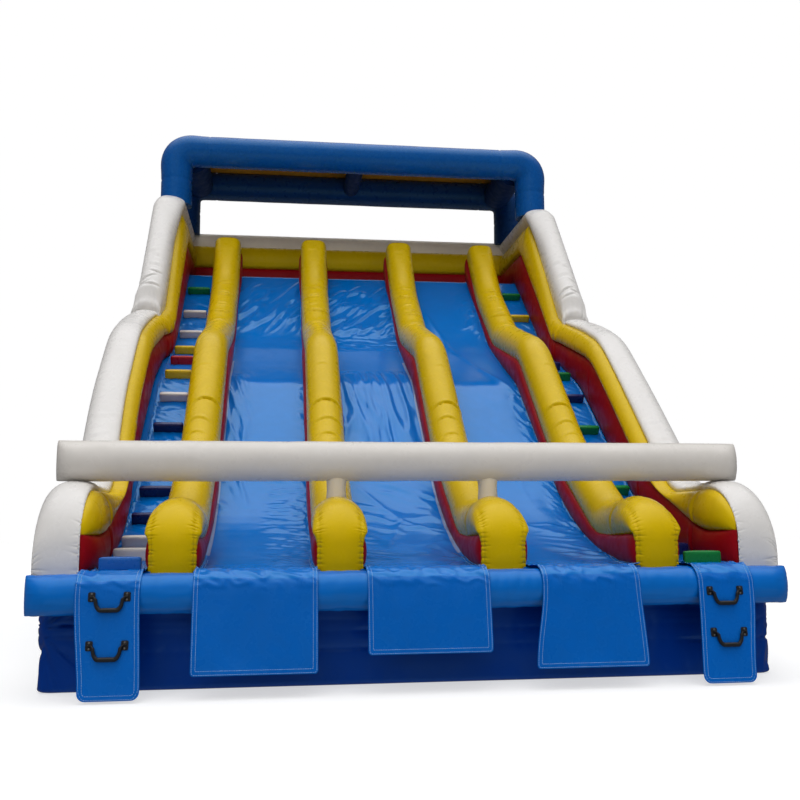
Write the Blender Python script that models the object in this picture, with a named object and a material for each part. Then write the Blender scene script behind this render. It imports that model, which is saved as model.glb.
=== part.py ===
"""Floating water slide: three lanes between two stairways, made of air-tight PVC chambers.

Metres, +Z up. X runs across the slide and Y runs from the front to the back. All sizes are
given in the slide's own frame, where y = 0 is the plane of the rounded noses of the walls,
and the finished model is then moved so that the origin is the middle of its footprint.
"""
import math

import bmesh
import bpy
from mathutils import Vector

# Gap kept where two pieces touch
GAP = 0.0003

# Float base
BASE_HALF_WIDTH = 3.46
BASE_FRONT_Y = 0.12
BASE_TOP_Z = 0.80
BASE_CORNER_RADIUS = 0.16
BASE_EDGE_INSET = 0.07
CREASE_HEIGHTS = (0.34, 0.49)
CREASE_DEPTH = 0.030
CREASE_HALF_HEIGHT = 0.022
FLAT_BAND = (0.57, 0.745)

# Bumper tube along the front edge
BUMPER_RADIUS = 0.18
BUMPER_Y = -0.136
BUMPER_HALF_LENGTH = 3.485
BUMPER_END_LENGTH = 0.16
TUBE_SIDES = 16

# Sliding surface, as corners of its side view: y, z and the radius that rounds the corner
DECK_Z = 1.05
PLATFORM_Z = 5.84
REAR_Y = 9.42
BED_CORNERS = (
    (1.62, DECK_Z, 4.0),
    (4.375, 3.40, 1.2),
    (6.12, 4.26, 2.5),
    (7.88, PLATFORM_Z, 0.25),
)
STATION_STEP = 0.40

# Body and its ribbed side and back chambers
BODY_HALF_WIDTH = 3.10
SIDE_OUTER_X = 3.42
RIB_BULGE = 0.05
SIDE_RIB_COUNT = 11
BACK_RIB_COUNT = 7
RIB_STEPS = 3

# Dividers: yellow top chamber over a red wall
INNER_DIVIDER_X = 0.7675
OUTER_DIVIDER_X = 2.276
DIVIDER_X = (-OUTER_DIVIDER_X, -INNER_DIVIDER_X, INNER_DIVIDER_X, OUTER_DIVIDER_X)
DIVIDER_SEAM_HALF = 0.205
DIVIDER_TOP_HEIGHT = 0.345
DIVIDER_UNDERCUT = math.radians(26)
DIVIDER_RED_BULGE = 0.05
DIVIDER_START_Y = 0.05
DIVIDER_END_Y = 7.87
DIVIDER_SEAM = (
    (-0.20, 1.365),
    (0.70, 1.325),
    (1.25, 1.345),
    (2.80, 2.27),
    (4.30, 3.76),
    (5.92, 4.29),
    (7.05, 5.21),
    (8.10, 6.58),
)
NOSE_LENGTH = 0.50
NOSE_START_Z = 1.28
NOSE_TOP_Z = 1.715
NOSE_STEPS = 5
NOSE_CROWDING = 1.3

# Outer walls: white outer chamber, yellow and red chambers on the inside
WALL_OUTER_X = 3.48
WALL_SEAM_X = 3.08
WALL_INNER_X = 2.985
WALL_LOBE_BULGE = 0.055
WALL_EDGE_DROP = 0.20
WALL_NOSE_LENGTH = 0.60
WALL_TOP_Z = 7.00
REAR_WHITE_SEAM_Z = 6.70
REAR_YELLOW_SEAM_Z = 6.38
WALL_RIDGE = (
    (0.60, 1.876),
    (1.45, 1.870),
    (3.62, 3.86),
    (3.86, 4.06),
    (5.34, 4.60),
    (5.46, 5.02),
    (6.88, 6.90),
    (7.05, WALL_TOP_Z),
    (REAR_Y, WALL_TOP_Z),
)
WALL_WHITE_SEAM = (
    (0.60, 1.79),
    (1.52, 1.78),
    (3.68, 3.80),
    (3.95, 3.98),
    (5.40, 4.50),
    (5.60, 4.68),
    (7.08, REAR_WHITE_SEAM_Z),
    (REAR_Y, REAR_WHITE_SEAM_Z),
)
WALL_YELLOW_SEAM = (
    (0.02, 1.38),
    (0.55, 1.36),
    (2.05, 2.02),
    (3.62, 3.56),
    (3.90, 3.76),
    (5.52, 4.31),
    (7.36, REAR_YELLOW_SEAM_Z),
    (REAR_Y, REAR_YELLOW_SEAM_Z),
)
REAR_WALL_FRONT_Y = 9.02
QUARTER_STEPS = 3

# PVC sheets over the lanes and stairways, and the flaps that hang over the bumper tube
SHEET_THICKNESS = 0.006
SHEET_EDGE_MARGIN = 0.012
SHEET_TOP_Y = 8.05
LANE_FLAP_BOTTOMS = (0.19, 0.33, 0.18)
LADDER_FLAP_BOTTOM = 0.015
LADDER_FLAP_INNER_X = 2.485
LADDER_FLAP_OUTER_X = 3.005
FLAP_LEAN = math.radians(7.0)
FLAP_BEAD_RADIUS = 0.0065
FLAP_STANDOFF = 0.0041
LADDER_FLAP_CORNER = 0.07
LANE_FLAP_CORNER = 0.025
SHEET_END_SHARE = 0.30

# Steps: colour and height above the ground of the lower front edge, from the deck upwards
STEP_DEPTH = 0.13
STEP_HEIGHT = 0.095
STEP_WIDTH = 0.37
STEP_X = 2.732
STEP_ROUNDING = 0.018
STAIR_UPPER_JOINT_Z = 3.66
STAIR_LOWER_JOINT_Z = 2.05
STAIR_PARTS = (
    ("upper", None, STAIR_UPPER_JOINT_Z),
    ("middle", STAIR_UPPER_JOINT_Z, STAIR_LOWER_JOINT_Z),
    ("lower", STAIR_LOWER_JOINT_Z, None),
)
STEPS_LEFT = (
    ("blue", DECK_Z), ("white", 1.105), ("white", 1.215), ("navy", 1.450), ("navy", 1.760),
    ("yellow", 2.150), ("navy", 2.600), ("white", 3.060), ("yellow", 3.440), ("red", 3.740),
    ("yellow", 3.980), ("white", 4.350), ("white", 4.790), ("green", 5.330),
)
STEPS_RIGHT = (
    ("green", DECK_Z), ("white", 1.105), ("yellow", 1.215), ("navy", 1.450), ("green", 1.760),
    ("white", 2.150), ("green", 2.600), ("navy", 3.100), ("green", 3.500), ("white", 3.740),
    ("red", 3.980), ("white", 4.350), ("yellow", 4.850), ("green", 5.370),
)

# Arches over the platform
ARCH_RADIUS = 0.27
ARCH_HALF_WIDTH = 3.165
ARCH_CENTRE_Z = 7.935
ARCH_CORNER_RADIUS = 0.42
ARCH_CORNER_STEPS = 4
FRONT_ARCH_Y = 7.42
REAR_ARCH_Y = 9.13
ROOF_SIDE_RADIUS = 0.20
ROOF_SIDE_X = 2.80
ROOF_CENTRE_RADIUS = 0.155
CANOPY_THICKNESS = 0.006
CANOPY_SAG = 0.035
CANOPY_STEPS = 6
CANOPY_HALF_WIDTH = 2.72
CANOPY_PARTING = 0.005
CANOPY_EDGE_GAP = 0.0052

# White cross tube above the noses, and the two posts under it
CROSS_RADIUS = 0.20
CROSS_Y = 0.70
CROSS_HALF_LENGTH = 3.47
CROSS_END_LENGTH = 0.12
POST_RADIUS = 0.10

# Carrying handles on the ladder flaps
LEFT_HANDLE_HEIGHTS = (0.862, 0.465)
RIGHT_HANDLE_HEIGHTS = (0.832, 0.465)
HANDLE_SPAN = 0.290
HANDLE_DROP = 0.112
HANDLE_PIN_RADIUS = 0.005
HANDLE_NECK_RADIUS = 0.010
HANDLE_GRIP_RADIUS = 0.018
HANDLE_STEPS = 12
HANDLE_STANDOFF = 0.0185
PIN_HOLE_RADIUS = 0.0063
PAD_WIDTH = 0.052
PAD_HEIGHT = 0.070
PAD_THICKNESS = 0.006
LUG_WIDTH = 0.016
LUG_REACH = 0.011
RIVET_RADIUS = 0.006
BACKING_HEIGHT = 0.032
BACKING_THICKNESS = 0.002

# Mooring rings along the sides of the base, and the air valve at the back
RING_Y = 7.60
FITTING_Z = 0.655
RING_ROD_RADIUS = 0.006
RING_HALF_WIDTH = 0.045
RING_DROP = 0.070
RING_STANDOFF = 0.0145
RING_HOLE_RADIUS = 0.0075
PATCH_RADIUS = 0.080
PATCH_THICKNESS = 0.004
LOOP_LENGTH = 0.044
LOOP_HALF_SIZE = 0.011
VALVE_Y = 8.70
VALVE_FLANGE_RADIUS = 0.060
VALVE_FLANGE_THICKNESS = 0.006
VALVE_NECK_RADIUS = 0.036
VALVE_NECK_LENGTH = 0.010
VALVE_CAP_WALL = 0.009
VALVE_CAP_LENGTH = 0.017
VALVE_CLEARANCE = 0.0008
VALVE_CAP_LUG = 0.004
ROUND_SIDES = 24


# Helpers for side views

def rounded_path(corners, start, end, steps_per_radian):
    """Side view points from start to end, each corner (y, z, radius) turned into an arc."""
    points = [start]
    line = [start] + [(y, z) for y, z, radius in corners] + [end]
    for index, (y, z, radius) in enumerate(corners):
        before = Vector(line[index]) - Vector((y, z))
        after = Vector(line[index + 2]) - Vector((y, z))
        before.normalize()
        after.normalize()
        turn = math.pi - before.angle(after)
        reach = radius * math.tan(turn / 2)
        first = Vector((y, z)) + before * reach
        last = Vector((y, z)) + after * reach
        middle = (before + after).normalized()
        centre = Vector((y, z)) + middle * (radius / math.cos(turn / 2))
        count = max(2, math.ceil(turn * steps_per_radian))
        for step in range(count + 1):
            share = step / count
            arm = (first - centre) * math.sin((1 - share) * turn) + (last - centre) * math.sin(share * turn)
            arm = arm / math.sin(turn)
            points.append(tuple(centre + arm))
    points.append(end)
    return points


def height_at(path, y):
    """Height of a side view path at a given y, along its straight pieces."""
    if y <= path[0][0]:
        return path[0][1]
    for (y0, z0), (y1, z1) in zip(path, path[1:]):
        if y <= y1:
            return z0 + (z1 - z0) * (y - y0) / (y1 - y0)
    return path[-1][1]


def smooth_height(path, y, reach):
    """Height of a path with its corners eased over a length of reach on both sides."""
    shares = (-1.0, -0.6, -0.2, 0.2, 0.6, 1.0)
    return sum(height_at(path, y + share * reach) for share in shares) / len(shares)


def offset_path(path, distance):
    """Side view path moved square to itself by distance, towards its upper side."""
    moved = []
    for index, point in enumerate(path):
        normals = []
        for first, second in ((index - 1, index), (index, index + 1)):
            if first >= 0 and second < len(path):
                along = Vector(path[second]) - Vector(path[first])
                along.normalize()
                side = Vector((-along.y, along.x))
                normals.append(side if along.x > 0 else -side)
        bisector = sum(normals, Vector((0, 0))).normalized()
        scale = distance / bisector.dot(normals[0])
        moved.append(tuple(Vector(point) + bisector * scale))
    return moved


BODY_FRONT_Y = BUMPER_Y + BUMPER_RADIUS + GAP
BED = rounded_path(BED_CORNERS, (BODY_FRONT_Y, DECK_Z), (REAR_Y, PLATFORM_Z), 5)


def stations(first, last):
    """Y values between first and last that hold every bend of the bed and of the noses."""
    values = [first, last]
    values += [y for y, z in BED if first < y < last]
    values += [y for y, z in WALL_RIDGE[4:8] if first < y < last]
    for step in range(1, NOSE_STEPS + 1):
        values.append(first + (NOSE_LENGTH - first) * (step / NOSE_STEPS) ** NOSE_CROWDING)
    values = sorted(values)
    filled = [values[0]]
    for value in values[1:]:
        count = math.ceil((value - filled[-1]) / STATION_STEP - 0.3)
        start = filled[-1]
        for step in range(1, count):
            filled.append(start + (value - start) * step / count)
        if value - filled[-1] > 0.004:
            filled.append(value)
    return filled


def nose_angle(y):
    """Angle round a nose, from level at its foot to upright at its top, for a seam place."""
    share = max(0.0, (y - DIVIDER_START_Y) / (NOSE_LENGTH - DIVIDER_START_Y))
    turn = NOSE_STEPS * share ** (1 / NOSE_CROWDING)
    return math.pi / 2 * min(1.0, (turn + 1) / (NOSE_STEPS + 1))


# Helpers for meshes

ORIGIN = bpy.data.objects.new("slide_origin", None)
MODEL = []


def clear_scene():
    for old in list(bpy.data.objects):
        if old is not ORIGIN:
            bpy.data.objects.remove(old, do_unlink=True)
    bpy.context.scene.collection.objects.link(ORIGIN)


def make_material(name, colour, roughness, metallic=0.0):
    material = bpy.data.materials.new(name)
    material.use_nodes = True
    shader = material.node_tree.nodes["Principled BSDF"]
    shader.inputs["Base Color"].default_value = (*colour, 1.0)
    shader.inputs["Roughness"].default_value = roughness
    shader.inputs["Metallic"].default_value = metallic
    return material


class Shape:
    """Corners and faces of one closed body or of several that share a node."""

    def __init__(self):
        self.corners = []
        self.faces = []

    def loft(self, rings):
        """Skin over rings of equal count, closed by a face at each end."""
        base = len(self.corners)
        count = len(rings[0])
        for ring in rings:
            self.corners.extend(ring)
        for row in range(len(rings) - 1):
            for column in range(count):
                beside = (column + 1) % count
                low = base + row * count
                high = low + count
                self.faces.append((low + column, low + beside, high + beside, high + column))
        self.faces.append(tuple(reversed(range(base, base + count))))
        top = base + (len(rings) - 1) * count
        self.faces.append(tuple(range(top, top + count)))
        return self

    def ring_loft(self, rings):
        """Skin over rings that run round to the first one again."""
        base = len(self.corners)
        count = len(rings[0])
        for ring in rings:
            self.corners.extend(ring)
        for row in range(len(rings)):
            following = (row + 1) % len(rings)
            for column in range(count):
                beside = (column + 1) % count
                low = base + row * count
                high = base + following * count
                self.faces.append((low + column, low + beside, high + beside, high + column))
        return self

    def mesh(self, name, origin=(0, 0, 0)):
        data = bpy.data.meshes.new(name)
        moved = [tuple(Vector(corner) - Vector(origin)) for corner in self.corners]
        data.from_pydata(moved, [], self.faces)
        data.update()
        work = bmesh.new()
        work.from_mesh(data)
        bmesh.ops.recalc_face_normals(work, faces=work.faces)
        work.to_mesh(data)
        work.free()
        return data


def add_piece(name, shape, material, origin=(0, 0, 0), smooth=True, parent=None):
    """One named piece whose origin is the given point of the slide's frame."""
    data = shape.mesh(name, origin)
    if smooth:
        data.shade_smooth()
        data.set_sharp_from_angle(angle=math.radians(40))
    data.materials.append(material)
    piece = bpy.data.objects.new(name, data)
    bpy.context.scene.collection.objects.link(piece)
    holder = parent or ORIGIN
    piece.parent = holder
    piece.location = Vector(origin) - place_of(holder)
    MODEL.append(piece)
    return piece


def place_of(holder):
    """Place of an empty or piece in the slide's frame."""
    place = Vector((0, 0, 0))
    while holder is not ORIGIN:
        place += holder.location
        holder = holder.parent
    return place


def combine(piece, shape, name, operation):
    """Join a shape to a piece, or take it away, by a Boolean with a hidden helper."""
    helper = bpy.data.objects.new(name, shape.mesh(name))
    bpy.context.scene.collection.objects.link(helper)
    helper.parent = ORIGIN
    helper.hide_render = True
    helper.display_type = "WIRE"
    modifier = piece.modifiers.new(name, "BOOLEAN")
    modifier.operation = operation
    modifier.solver = "EXACT"
    modifier.object = helper


def cut(piece, shape, name):
    combine(piece, shape, name, "DIFFERENCE")


def unite(piece, shape, name):
    combine(piece, shape, name, "UNION")


def circle(centre, first_axis, second_axis, radius, sides, start=0.0):
    """Points round a centre in the plane of two axes."""
    points = []
    for side in range(sides):
        angle = start + math.tau * side / sides
        arm = Vector(first_axis) * math.cos(angle) + Vector(second_axis) * math.sin(angle)
        points.append(tuple(Vector(centre) + arm * radius))
    return points


def tube_along_x(half_length, y, z, radius, sides, end_length, end_share):
    """Inflated tube across the slide with drawn-in, slightly domed ends."""
    profile = (
        (half_length, end_share * 0.45),
        (half_length - 0.015, end_share * 0.80),
        (half_length - end_length * 0.4, 0.5 + end_share / 2),
        (half_length - end_length, 1.0),
    )
    places = [(-x, share) for x, share in profile] + [(x, share) for x, share in reversed(profile)]
    rings = [circle((x, y, z), (0, 1, 0), (0, 0, 1), radius * share, sides) for x, share in places]
    return Shape().loft(rings)


# Float base and bumper tube

def base_outline(inset):
    """Plan of the float base, a rectangle with rounded corners, drawn in by inset."""
    half = BASE_HALF_WIDTH - inset
    front = BASE_FRONT_Y + inset
    back = REAR_Y - inset
    radius = BASE_CORNER_RADIUS - inset
    points = []
    centres = (
        (half - radius, back - radius, 0),
        (-half + radius, back - radius, 90),
        (-half + radius, front + radius, 180),
        (half - radius, front + radius, 270),
    )
    for x, y, start in centres:
        for step in range(4):
            angle = math.radians(start + 30 * step)
            points.append((x + radius * math.cos(angle), y + radius * math.sin(angle)))
    return points


def make_float_base(material):
    levels = [(0.0, BASE_EDGE_INSET), (0.04, 0.020), (0.16, 0.0)]
    for height in CREASE_HEIGHTS:
        levels.append((height - 2.5 * CREASE_HALF_HEIGHT, CREASE_DEPTH * 0.2))
        levels.append((height - CREASE_HALF_HEIGHT, CREASE_DEPTH * 0.5))
        levels.append((height, CREASE_DEPTH))
        levels.append((height + CREASE_HALF_HEIGHT, CREASE_DEPTH * 0.5))
    levels += [(FLAT_BAND[0], 0.0), (FLAT_BAND[1], 0.0)]
    levels += [(BASE_TOP_Z - 0.018, 0.020), (BASE_TOP_Z, BASE_EDGE_INSET)]
    rings = [[(x, y, z) for x, y in base_outline(inset)] for z, inset in levels]
    return add_piece("float_base", Shape().loft(rings), material)


def make_bumper_tube(material):
    shape = tube_along_x(BUMPER_HALF_LENGTH, BUMPER_Y, DECK_Z - BUMPER_RADIUS, BUMPER_RADIUS,
                         TUBE_SIDES, BUMPER_END_LENGTH, 0.90)
    return add_piece("bumper_tube", shape, material)


# Body under the sliding surface

def make_slide_body(material):
    count = BACK_RIB_COUNT * RIB_STEPS
    top = [(y, z) for y, z in BED if y < REAR_Y]
    rings = []
    for step in range(count + 1):
        x = BODY_HALF_WIDTH * (2 * step / count - 1)
        back = REAR_Y - RIB_BULGE + rib_bulge(step / RIB_STEPS % 1.0)
        outline = top + [(back, PLATFORM_Z), (back, BASE_TOP_Z + GAP), (BODY_FRONT_Y, BASE_TOP_Z + GAP)]
        rings.append([(x, y, z) for y, z in outline])
    return add_piece("slide_body", Shape().loft(rings), material)


def rib_bulge(share):
    return RIB_BULGE * math.sqrt(max(0.0, math.sin(math.pi * share)))


def make_side_ribs(name, sign, material):
    length = REAR_Y - BODY_FRONT_Y
    count = SIDE_RIB_COUNT * RIB_STEPS
    bends = [y for y, z in BED if BODY_FRONT_Y < y < REAR_Y]
    values = [BODY_FRONT_Y + length * step / count for step in range(count + 1)]
    values = [value for value in values if all(abs(value - bend) > 0.03 for bend in bends)]
    inner = BODY_HALF_WIDTH + GAP
    low = BASE_TOP_Z + GAP
    rings = []
    for y in sorted(values + bends):
        share = (y - BODY_FRONT_Y) / length * SIDE_RIB_COUNT % 1.0
        outer = SIDE_OUTER_X - RIB_BULGE + rib_bulge(share)
        high = height_at(BED, y)
        rings.append([(sign * inner, y, low), (sign * outer, y, low),
                      (sign * outer, y, high), (sign * inner, y, high)])
    return add_piece(name, Shape().loft(rings), material)


# Dividers

DIVIDER_STATIONS = stations(DIVIDER_START_Y, DIVIDER_END_Y)


def divider_seam(y):
    return smooth_height(DIVIDER_SEAM, y, 0.16)


def divider_ridge_pairs(grow):
    """Seam point and ridge point of each cross section of the yellow chamber."""
    seams = [(DIVIDER_START_Y, DECK_Z + 0.02), (DIVIDER_START_Y, NOSE_START_Z)]
    seams += [(y, divider_seam(y)) for y in DIVIDER_STATIONS]
    pairs = []
    for index, seam in enumerate(seams):
        y, z = seam
        if index < 2:
            ridge = Vector((-grow, z))
        elif y <= NOSE_LENGTH:
            angle = nose_angle(y)
            rise = NOSE_TOP_Z - NOSE_START_Z
            ridge = Vector((NOSE_LENGTH * (1 - math.cos(angle)) - grow * math.cos(angle),
                            NOSE_START_Z + rise * math.sin(angle) + grow * math.sin(angle)))
        else:
            before = Vector(seams[index - 1])
            after = Vector(seams[min(index + 1, len(seams) - 1)])
            along = (after - before).normalized()
            height = DIVIDER_TOP_HEIGHT + grow
            fade = max(0.0, 1 - (y - NOSE_LENGTH) / 1.2)
            height += (NOSE_TOP_Z - DIVIDER_SEAM[1][1] - DIVIDER_TOP_HEIGHT) * fade
            ridge = Vector(seam) + Vector((-along.y, along.x)) * height
        pairs.append((Vector(seam), ridge))
    return pairs


def divider_top_shape(x, grow=0.0):
    """Yellow chamber: a round lobe over the seam that also wraps down the nose."""
    arc_steps = 9
    rings = []
    for index, (seam, ridge) in enumerate(divider_ridge_pairs(grow)):
        upright = (nose_angle(seam.x) - math.pi / 2 / (NOSE_STEPS + 1)) / (math.pi / 2)
        undercut = 0.0 if index < 2 else DIVIDER_UNDERCUT * upright
        half = (DIVIDER_SEAM_HALF + grow) / math.cos(undercut)
        lift = (ridge - seam).normalized() * (GAP - grow)
        ring = []
        for step in range(arc_steps + 1):
            angle = -undercut + (math.pi + 2 * undercut) * step / arc_steps
            share = (math.sin(undercut) + math.sin(angle)) / (1 + math.sin(undercut))
            squeeze = 1.0 if index > 1 else 0.97
            place = seam + lift + (ridge - seam - lift) * share
            ring.append((x + half * squeeze * math.cos(angle), place.x, place.y))
        rings.append(ring)
    return Shape().loft(rings)


def divider_side_shape(x):
    """Red wall under the yellow chamber, with sides that swell between its seams."""
    shares = (0.0, 0.18, 0.5, 0.82, 1.0)
    rings = []
    for y in DIVIDER_STATIONS:
        low = height_at(BED, y) + GAP
        high = divider_seam(y)
        bulge = DIVIDER_RED_BULGE * min(1.0, (high - low) / 0.30)
        side = []
        for share in shares:
            swell = bulge * math.sqrt(4 * share * (1 - share))
            side.append((DIVIDER_SEAM_HALF + swell, y, low + (high - low) * share))
        ring = [(x + offset, place, z) for offset, place, z in side]
        ring += [(x - offset, place, z) for offset, place, z in reversed(side)]
        rings.append(ring)
    return Shape().loft(rings)


# Outer walls

WALL_STATIONS = stations(DIVIDER_START_Y, REAR_Y)


def wall_nose_point(y, top):
    """Point of a wall's nose curve for a foot at y, from level at its foot to its top."""
    angle = nose_angle(y)
    rise = top - NOSE_START_Z
    return WALL_NOSE_LENGTH * (1 - math.cos(angle)), NOSE_START_Z + rise * math.sin(angle)


def wall_height(path, y):
    """Height of a wall's ridge or seam, eased everywhere but at the fold of the hump."""
    return smooth_height(path, y, 0.20) if y < 5.0 else height_at(path, y)


def wall_sections():
    """Foot, white seam and ridge of each cross section of the white chamber."""
    foot = height_at(BED, DIVIDER_START_Y) + GAP
    sections = [((DIVIDER_START_Y, foot), (0.0, foot + 0.02), (0.0, foot + 0.02)),
                ((DIVIDER_START_Y, foot), (0.0, NOSE_START_Z), (0.0, NOSE_START_Z))]
    for y in WALL_STATIONS:
        low = (y, height_at(BED, y) + GAP)
        if y <= NOSE_LENGTH:
            seam = wall_nose_point(y, WALL_WHITE_SEAM[0][1])
            ridge = wall_nose_point(y, WALL_RIDGE[0][1])
        else:
            lean = max(0.0, 1 - (y - NOSE_LENGTH) / 0.8) * (WALL_NOSE_LENGTH - NOSE_LENGTH)
            seam = (y + lean, wall_height(WALL_WHITE_SEAM, y + lean))
            ridge = (y + lean, wall_height(WALL_RIDGE, y + lean))
        sections.append((low, seam, ridge))
    return sections


def wall_white_shape(sign):
    """White chamber: flat inner face, rounded over the ridge and down the outer side."""
    middle = (WALL_SEAM_X + WALL_OUTER_X) / 2
    half = (WALL_OUTER_X - WALL_SEAM_X) / 2
    quarter = [step / QUARTER_STEPS for step in range(QUARTER_STEPS + 1)]
    rings = []
    for foot, seam, ridge in wall_sections():
        foot = Vector(foot)
        seam = Vector(seam)
        ridge = Vector(ridge)
        down = foot - ridge
        edge = ridge + down * min(0.5, WALL_EDGE_DROP / down.length)
        ring = [(sign * WALL_SEAM_X, foot.x, foot.y)]
        for share in quarter:
            place = seam + (ridge - seam) * math.sin(share * math.pi / 2)
            ring.append((sign * (middle - half * math.cos(share * math.pi / 2)), place.x, place.y))
        for share in quarter[1:]:
            place = ridge + (edge - ridge) * (1 - math.cos(share * math.pi / 2))
            ring.append((sign * (middle + half * math.sin(share * math.pi / 2)), place.x, place.y))
        ring.append((sign * (WALL_OUTER_X - 0.05), foot.x, foot.y))
        rings.append(ring)
    return Shape().loft(rings)


def lobe_ring(depths, low, high, shares):
    """Offsets from the seam plane and heights of a swelling lobe between two seams."""
    ring = []
    for share in shares:
        swell = WALL_LOBE_BULGE * math.sqrt(4 * share * (1 - share))
        depth = depths[0] + (depths[1] - depths[0]) * share
        ring.append((depth + swell, low + (high - low) * share))
    return ring


def wall_lobe_levels(name, y):
    """Lower and upper seam height of an inner lobe at a place along the wall."""
    if name == "yellow":
        return wall_height(WALL_YELLOW_SEAM, y) + GAP, wall_top_at(y)
    return height_at(BED, y) + GAP, wall_height(WALL_YELLOW_SEAM, y)


def wall_top_at(y):
    """Height of the white seam, which follows the nose curve at the front."""
    if y >= WALL_NOSE_LENGTH:
        return wall_height(WALL_WHITE_SEAM, y)
    cosine = 1 - y / WALL_NOSE_LENGTH
    rise = WALL_WHITE_SEAM[0][1] - NOSE_START_Z
    return NOSE_START_Z + rise * math.sqrt(max(0.0, 1 - cosine * cosine))


LOBE_SHARES = (0.0, 0.12, 0.5, 0.88, 1.0)


def lobe_depths(name):
    """Distance of a lobe's two seams from the plane where it meets the white chamber."""
    reach = WALL_SEAM_X - WALL_INNER_X
    return (reach, 0.012) if name == "yellow" else (reach, reach)


def wall_lobe_shape(name, sign):
    """Yellow or red chamber on the inner side of an outer wall, mitred at the rear wall."""
    face = WALL_SEAM_X - GAP
    start = 0.16 if name == "yellow" else DIVIDER_START_Y
    values = [start] + [y for y in WALL_STATIONS if start + 0.03 < y < REAR_WALL_FRONT_Y - 0.25]
    values.append(REAR_WALL_FRONT_Y)
    rings = []
    for y in values:
        low, high = wall_lobe_levels(name, y)
        offsets = lobe_ring(lobe_depths(name), low, high, LOBE_SHARES)
        mitre = y == REAR_WALL_FRONT_Y
        ring = [(sign * face, y - (GAP * 2 if mitre else 0), low)]
        for depth, z in offsets:
            ring.append((sign * (face - depth), y - (depth + GAP * 2 if mitre else 0), z))
        ring.append((sign * face, y - (GAP * 2 if mitre else 0), high))
        rings.append(ring)
    return Shape().loft(rings)


def rear_lobe_shape(name):
    """Yellow or red chamber on the front of the rear wall, mitred at both outer walls."""
    low, high = wall_lobe_levels(name, REAR_WALL_FRONT_Y)
    offsets = lobe_ring(lobe_depths(name), low, high, LOBE_SHARES)
    face = REAR_WALL_FRONT_Y - GAP
    rings = []
    for sign in (-1, 1):
        ring = [(sign * (WALL_SEAM_X - GAP), face, low)]
        for depth, z in offsets:
            ring.append((sign * (WALL_SEAM_X - GAP - depth), face - depth, z))
        ring.append((sign * (WALL_SEAM_X - GAP), face, high))
        rings.append(ring)
    return Shape().loft(rings)


def rounded_top(near, far, grow):
    """Rounded top of a white chamber between two faces, as pairs of place and height."""
    middle = (near + far) / 2
    half = (far - near) / 2 + grow
    count = 2 * QUARTER_STEPS
    points = []
    for step in range(count + 1):
        angle = math.pi * step / count
        edge = REAR_WHITE_SEAM_Z if step < QUARTER_STEPS else WALL_TOP_Z - WALL_EDGE_DROP
        points.append((middle - half * math.cos(angle),
                       edge + (WALL_TOP_Z + grow - edge) * math.sin(angle)))
    return points


def rear_white_shape():
    """White chamber of the rear wall, rounded over its top."""
    low = PLATFORM_Z + GAP
    profile = [(REAR_WALL_FRONT_Y, low)] + rounded_top(REAR_WALL_FRONT_Y, REAR_Y, 0.0)
    profile.append((REAR_Y - 0.05, low))
    end = WALL_SEAM_X - GAP
    rings = [[(x, y, z) for y, z in profile] for x in (-end, end)]
    return Shape().loft(rings)


# Sheets and flaps

BUMPER_Z = DECK_Z - BUMPER_RADIUS


def bumper_arc(radius):
    """Corners of the bumper tube's outline from its top to its front, at another radius."""
    points = []
    for side in range(TUBE_SIDES // 4 + 1):
        angle = math.pi / 2 + math.tau * side / TUBE_SIDES
        points.append((BUMPER_Y + radius * math.cos(angle), BUMPER_Z + radius * math.sin(angle)))
    return points


def sheet_path(distance):
    """Path of a sheet's face, from the top of a lane down and round the bumper tube."""
    bed = [point for point in BED if point[0] < SHEET_TOP_Y] + [(SHEET_TOP_Y, PLATFORM_Z)]
    bed = offset_path([(BUMPER_Y, DECK_Z)] + bed[1:], distance)
    flats = math.cos(math.pi / TUBE_SIDES)
    arc = bumper_arc(BUMPER_RADIUS + distance / flats)
    end = Vector(arc[-2]) + (Vector(arc[-1]) - Vector(arc[-2])) * SHEET_END_SHARE
    arc = arc[1:-1] + [tuple(end)]
    start = (BUMPER_Y, DECK_Z + distance)
    turned = bumper_arc(BUMPER_RADIUS + distance / flats)[0]
    return list(reversed(bed[1:])) + [(start[0], max(start[1], turned[1]))] + arc


def strip_shape(left, right, inner, outer):
    """Flat band between two side view paths, from one x to another."""
    rings = []
    for (y0, z0), (y1, z1) in zip(inner, outer):
        rings.append([(left, y0, z0), (right, y0, z0), (right, y1, z1), (left, y1, z1)])
    return Shape().loft(rings)


def flap_axis():
    """Point of the line on which a flap swings, in the crook under the end of its sheet.

    The flap leans out so that its inner side clears the front of the bumper tube, and its
    rolled edge all but touches the outer corner of the sheet.
    """
    corner = Vector(sheet_path(GAP + SHEET_THICKNESS)[-1])
    clear = (SHEET_THICKNESS / 2 + FLAP_STANDOFF) / math.cos(FLAP_LEAN)
    reach = FLAP_BEAD_RADIUS + 1.5 * GAP
    height = corner.y - FLAP_BEAD_RADIUS
    for attempt in range(5):
        front = BUMPER_Y - BUMPER_RADIUS - clear + (height - BUMPER_Z) * math.tan(FLAP_LEAN)
        height = corner.y - math.sqrt(reach ** 2 - (front - corner.x) ** 2)
    return Vector((front, height))


def flap_place(depth, out_distance):
    """Point of a flap's side view, a depth below its axis and out from its middle plane."""
    down = Vector((-math.sin(FLAP_LEAN), -math.cos(FLAP_LEAN)))
    out = Vector((-math.cos(FLAP_LEAN), math.sin(FLAP_LEAN)))
    return flap_axis() + down * depth + out * out_distance


def flap_length(bottom):
    """Length of a flap whose lower edge is at a height above the ground."""
    return (flap_axis().y - bottom) / math.cos(FLAP_LEAN)


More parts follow.
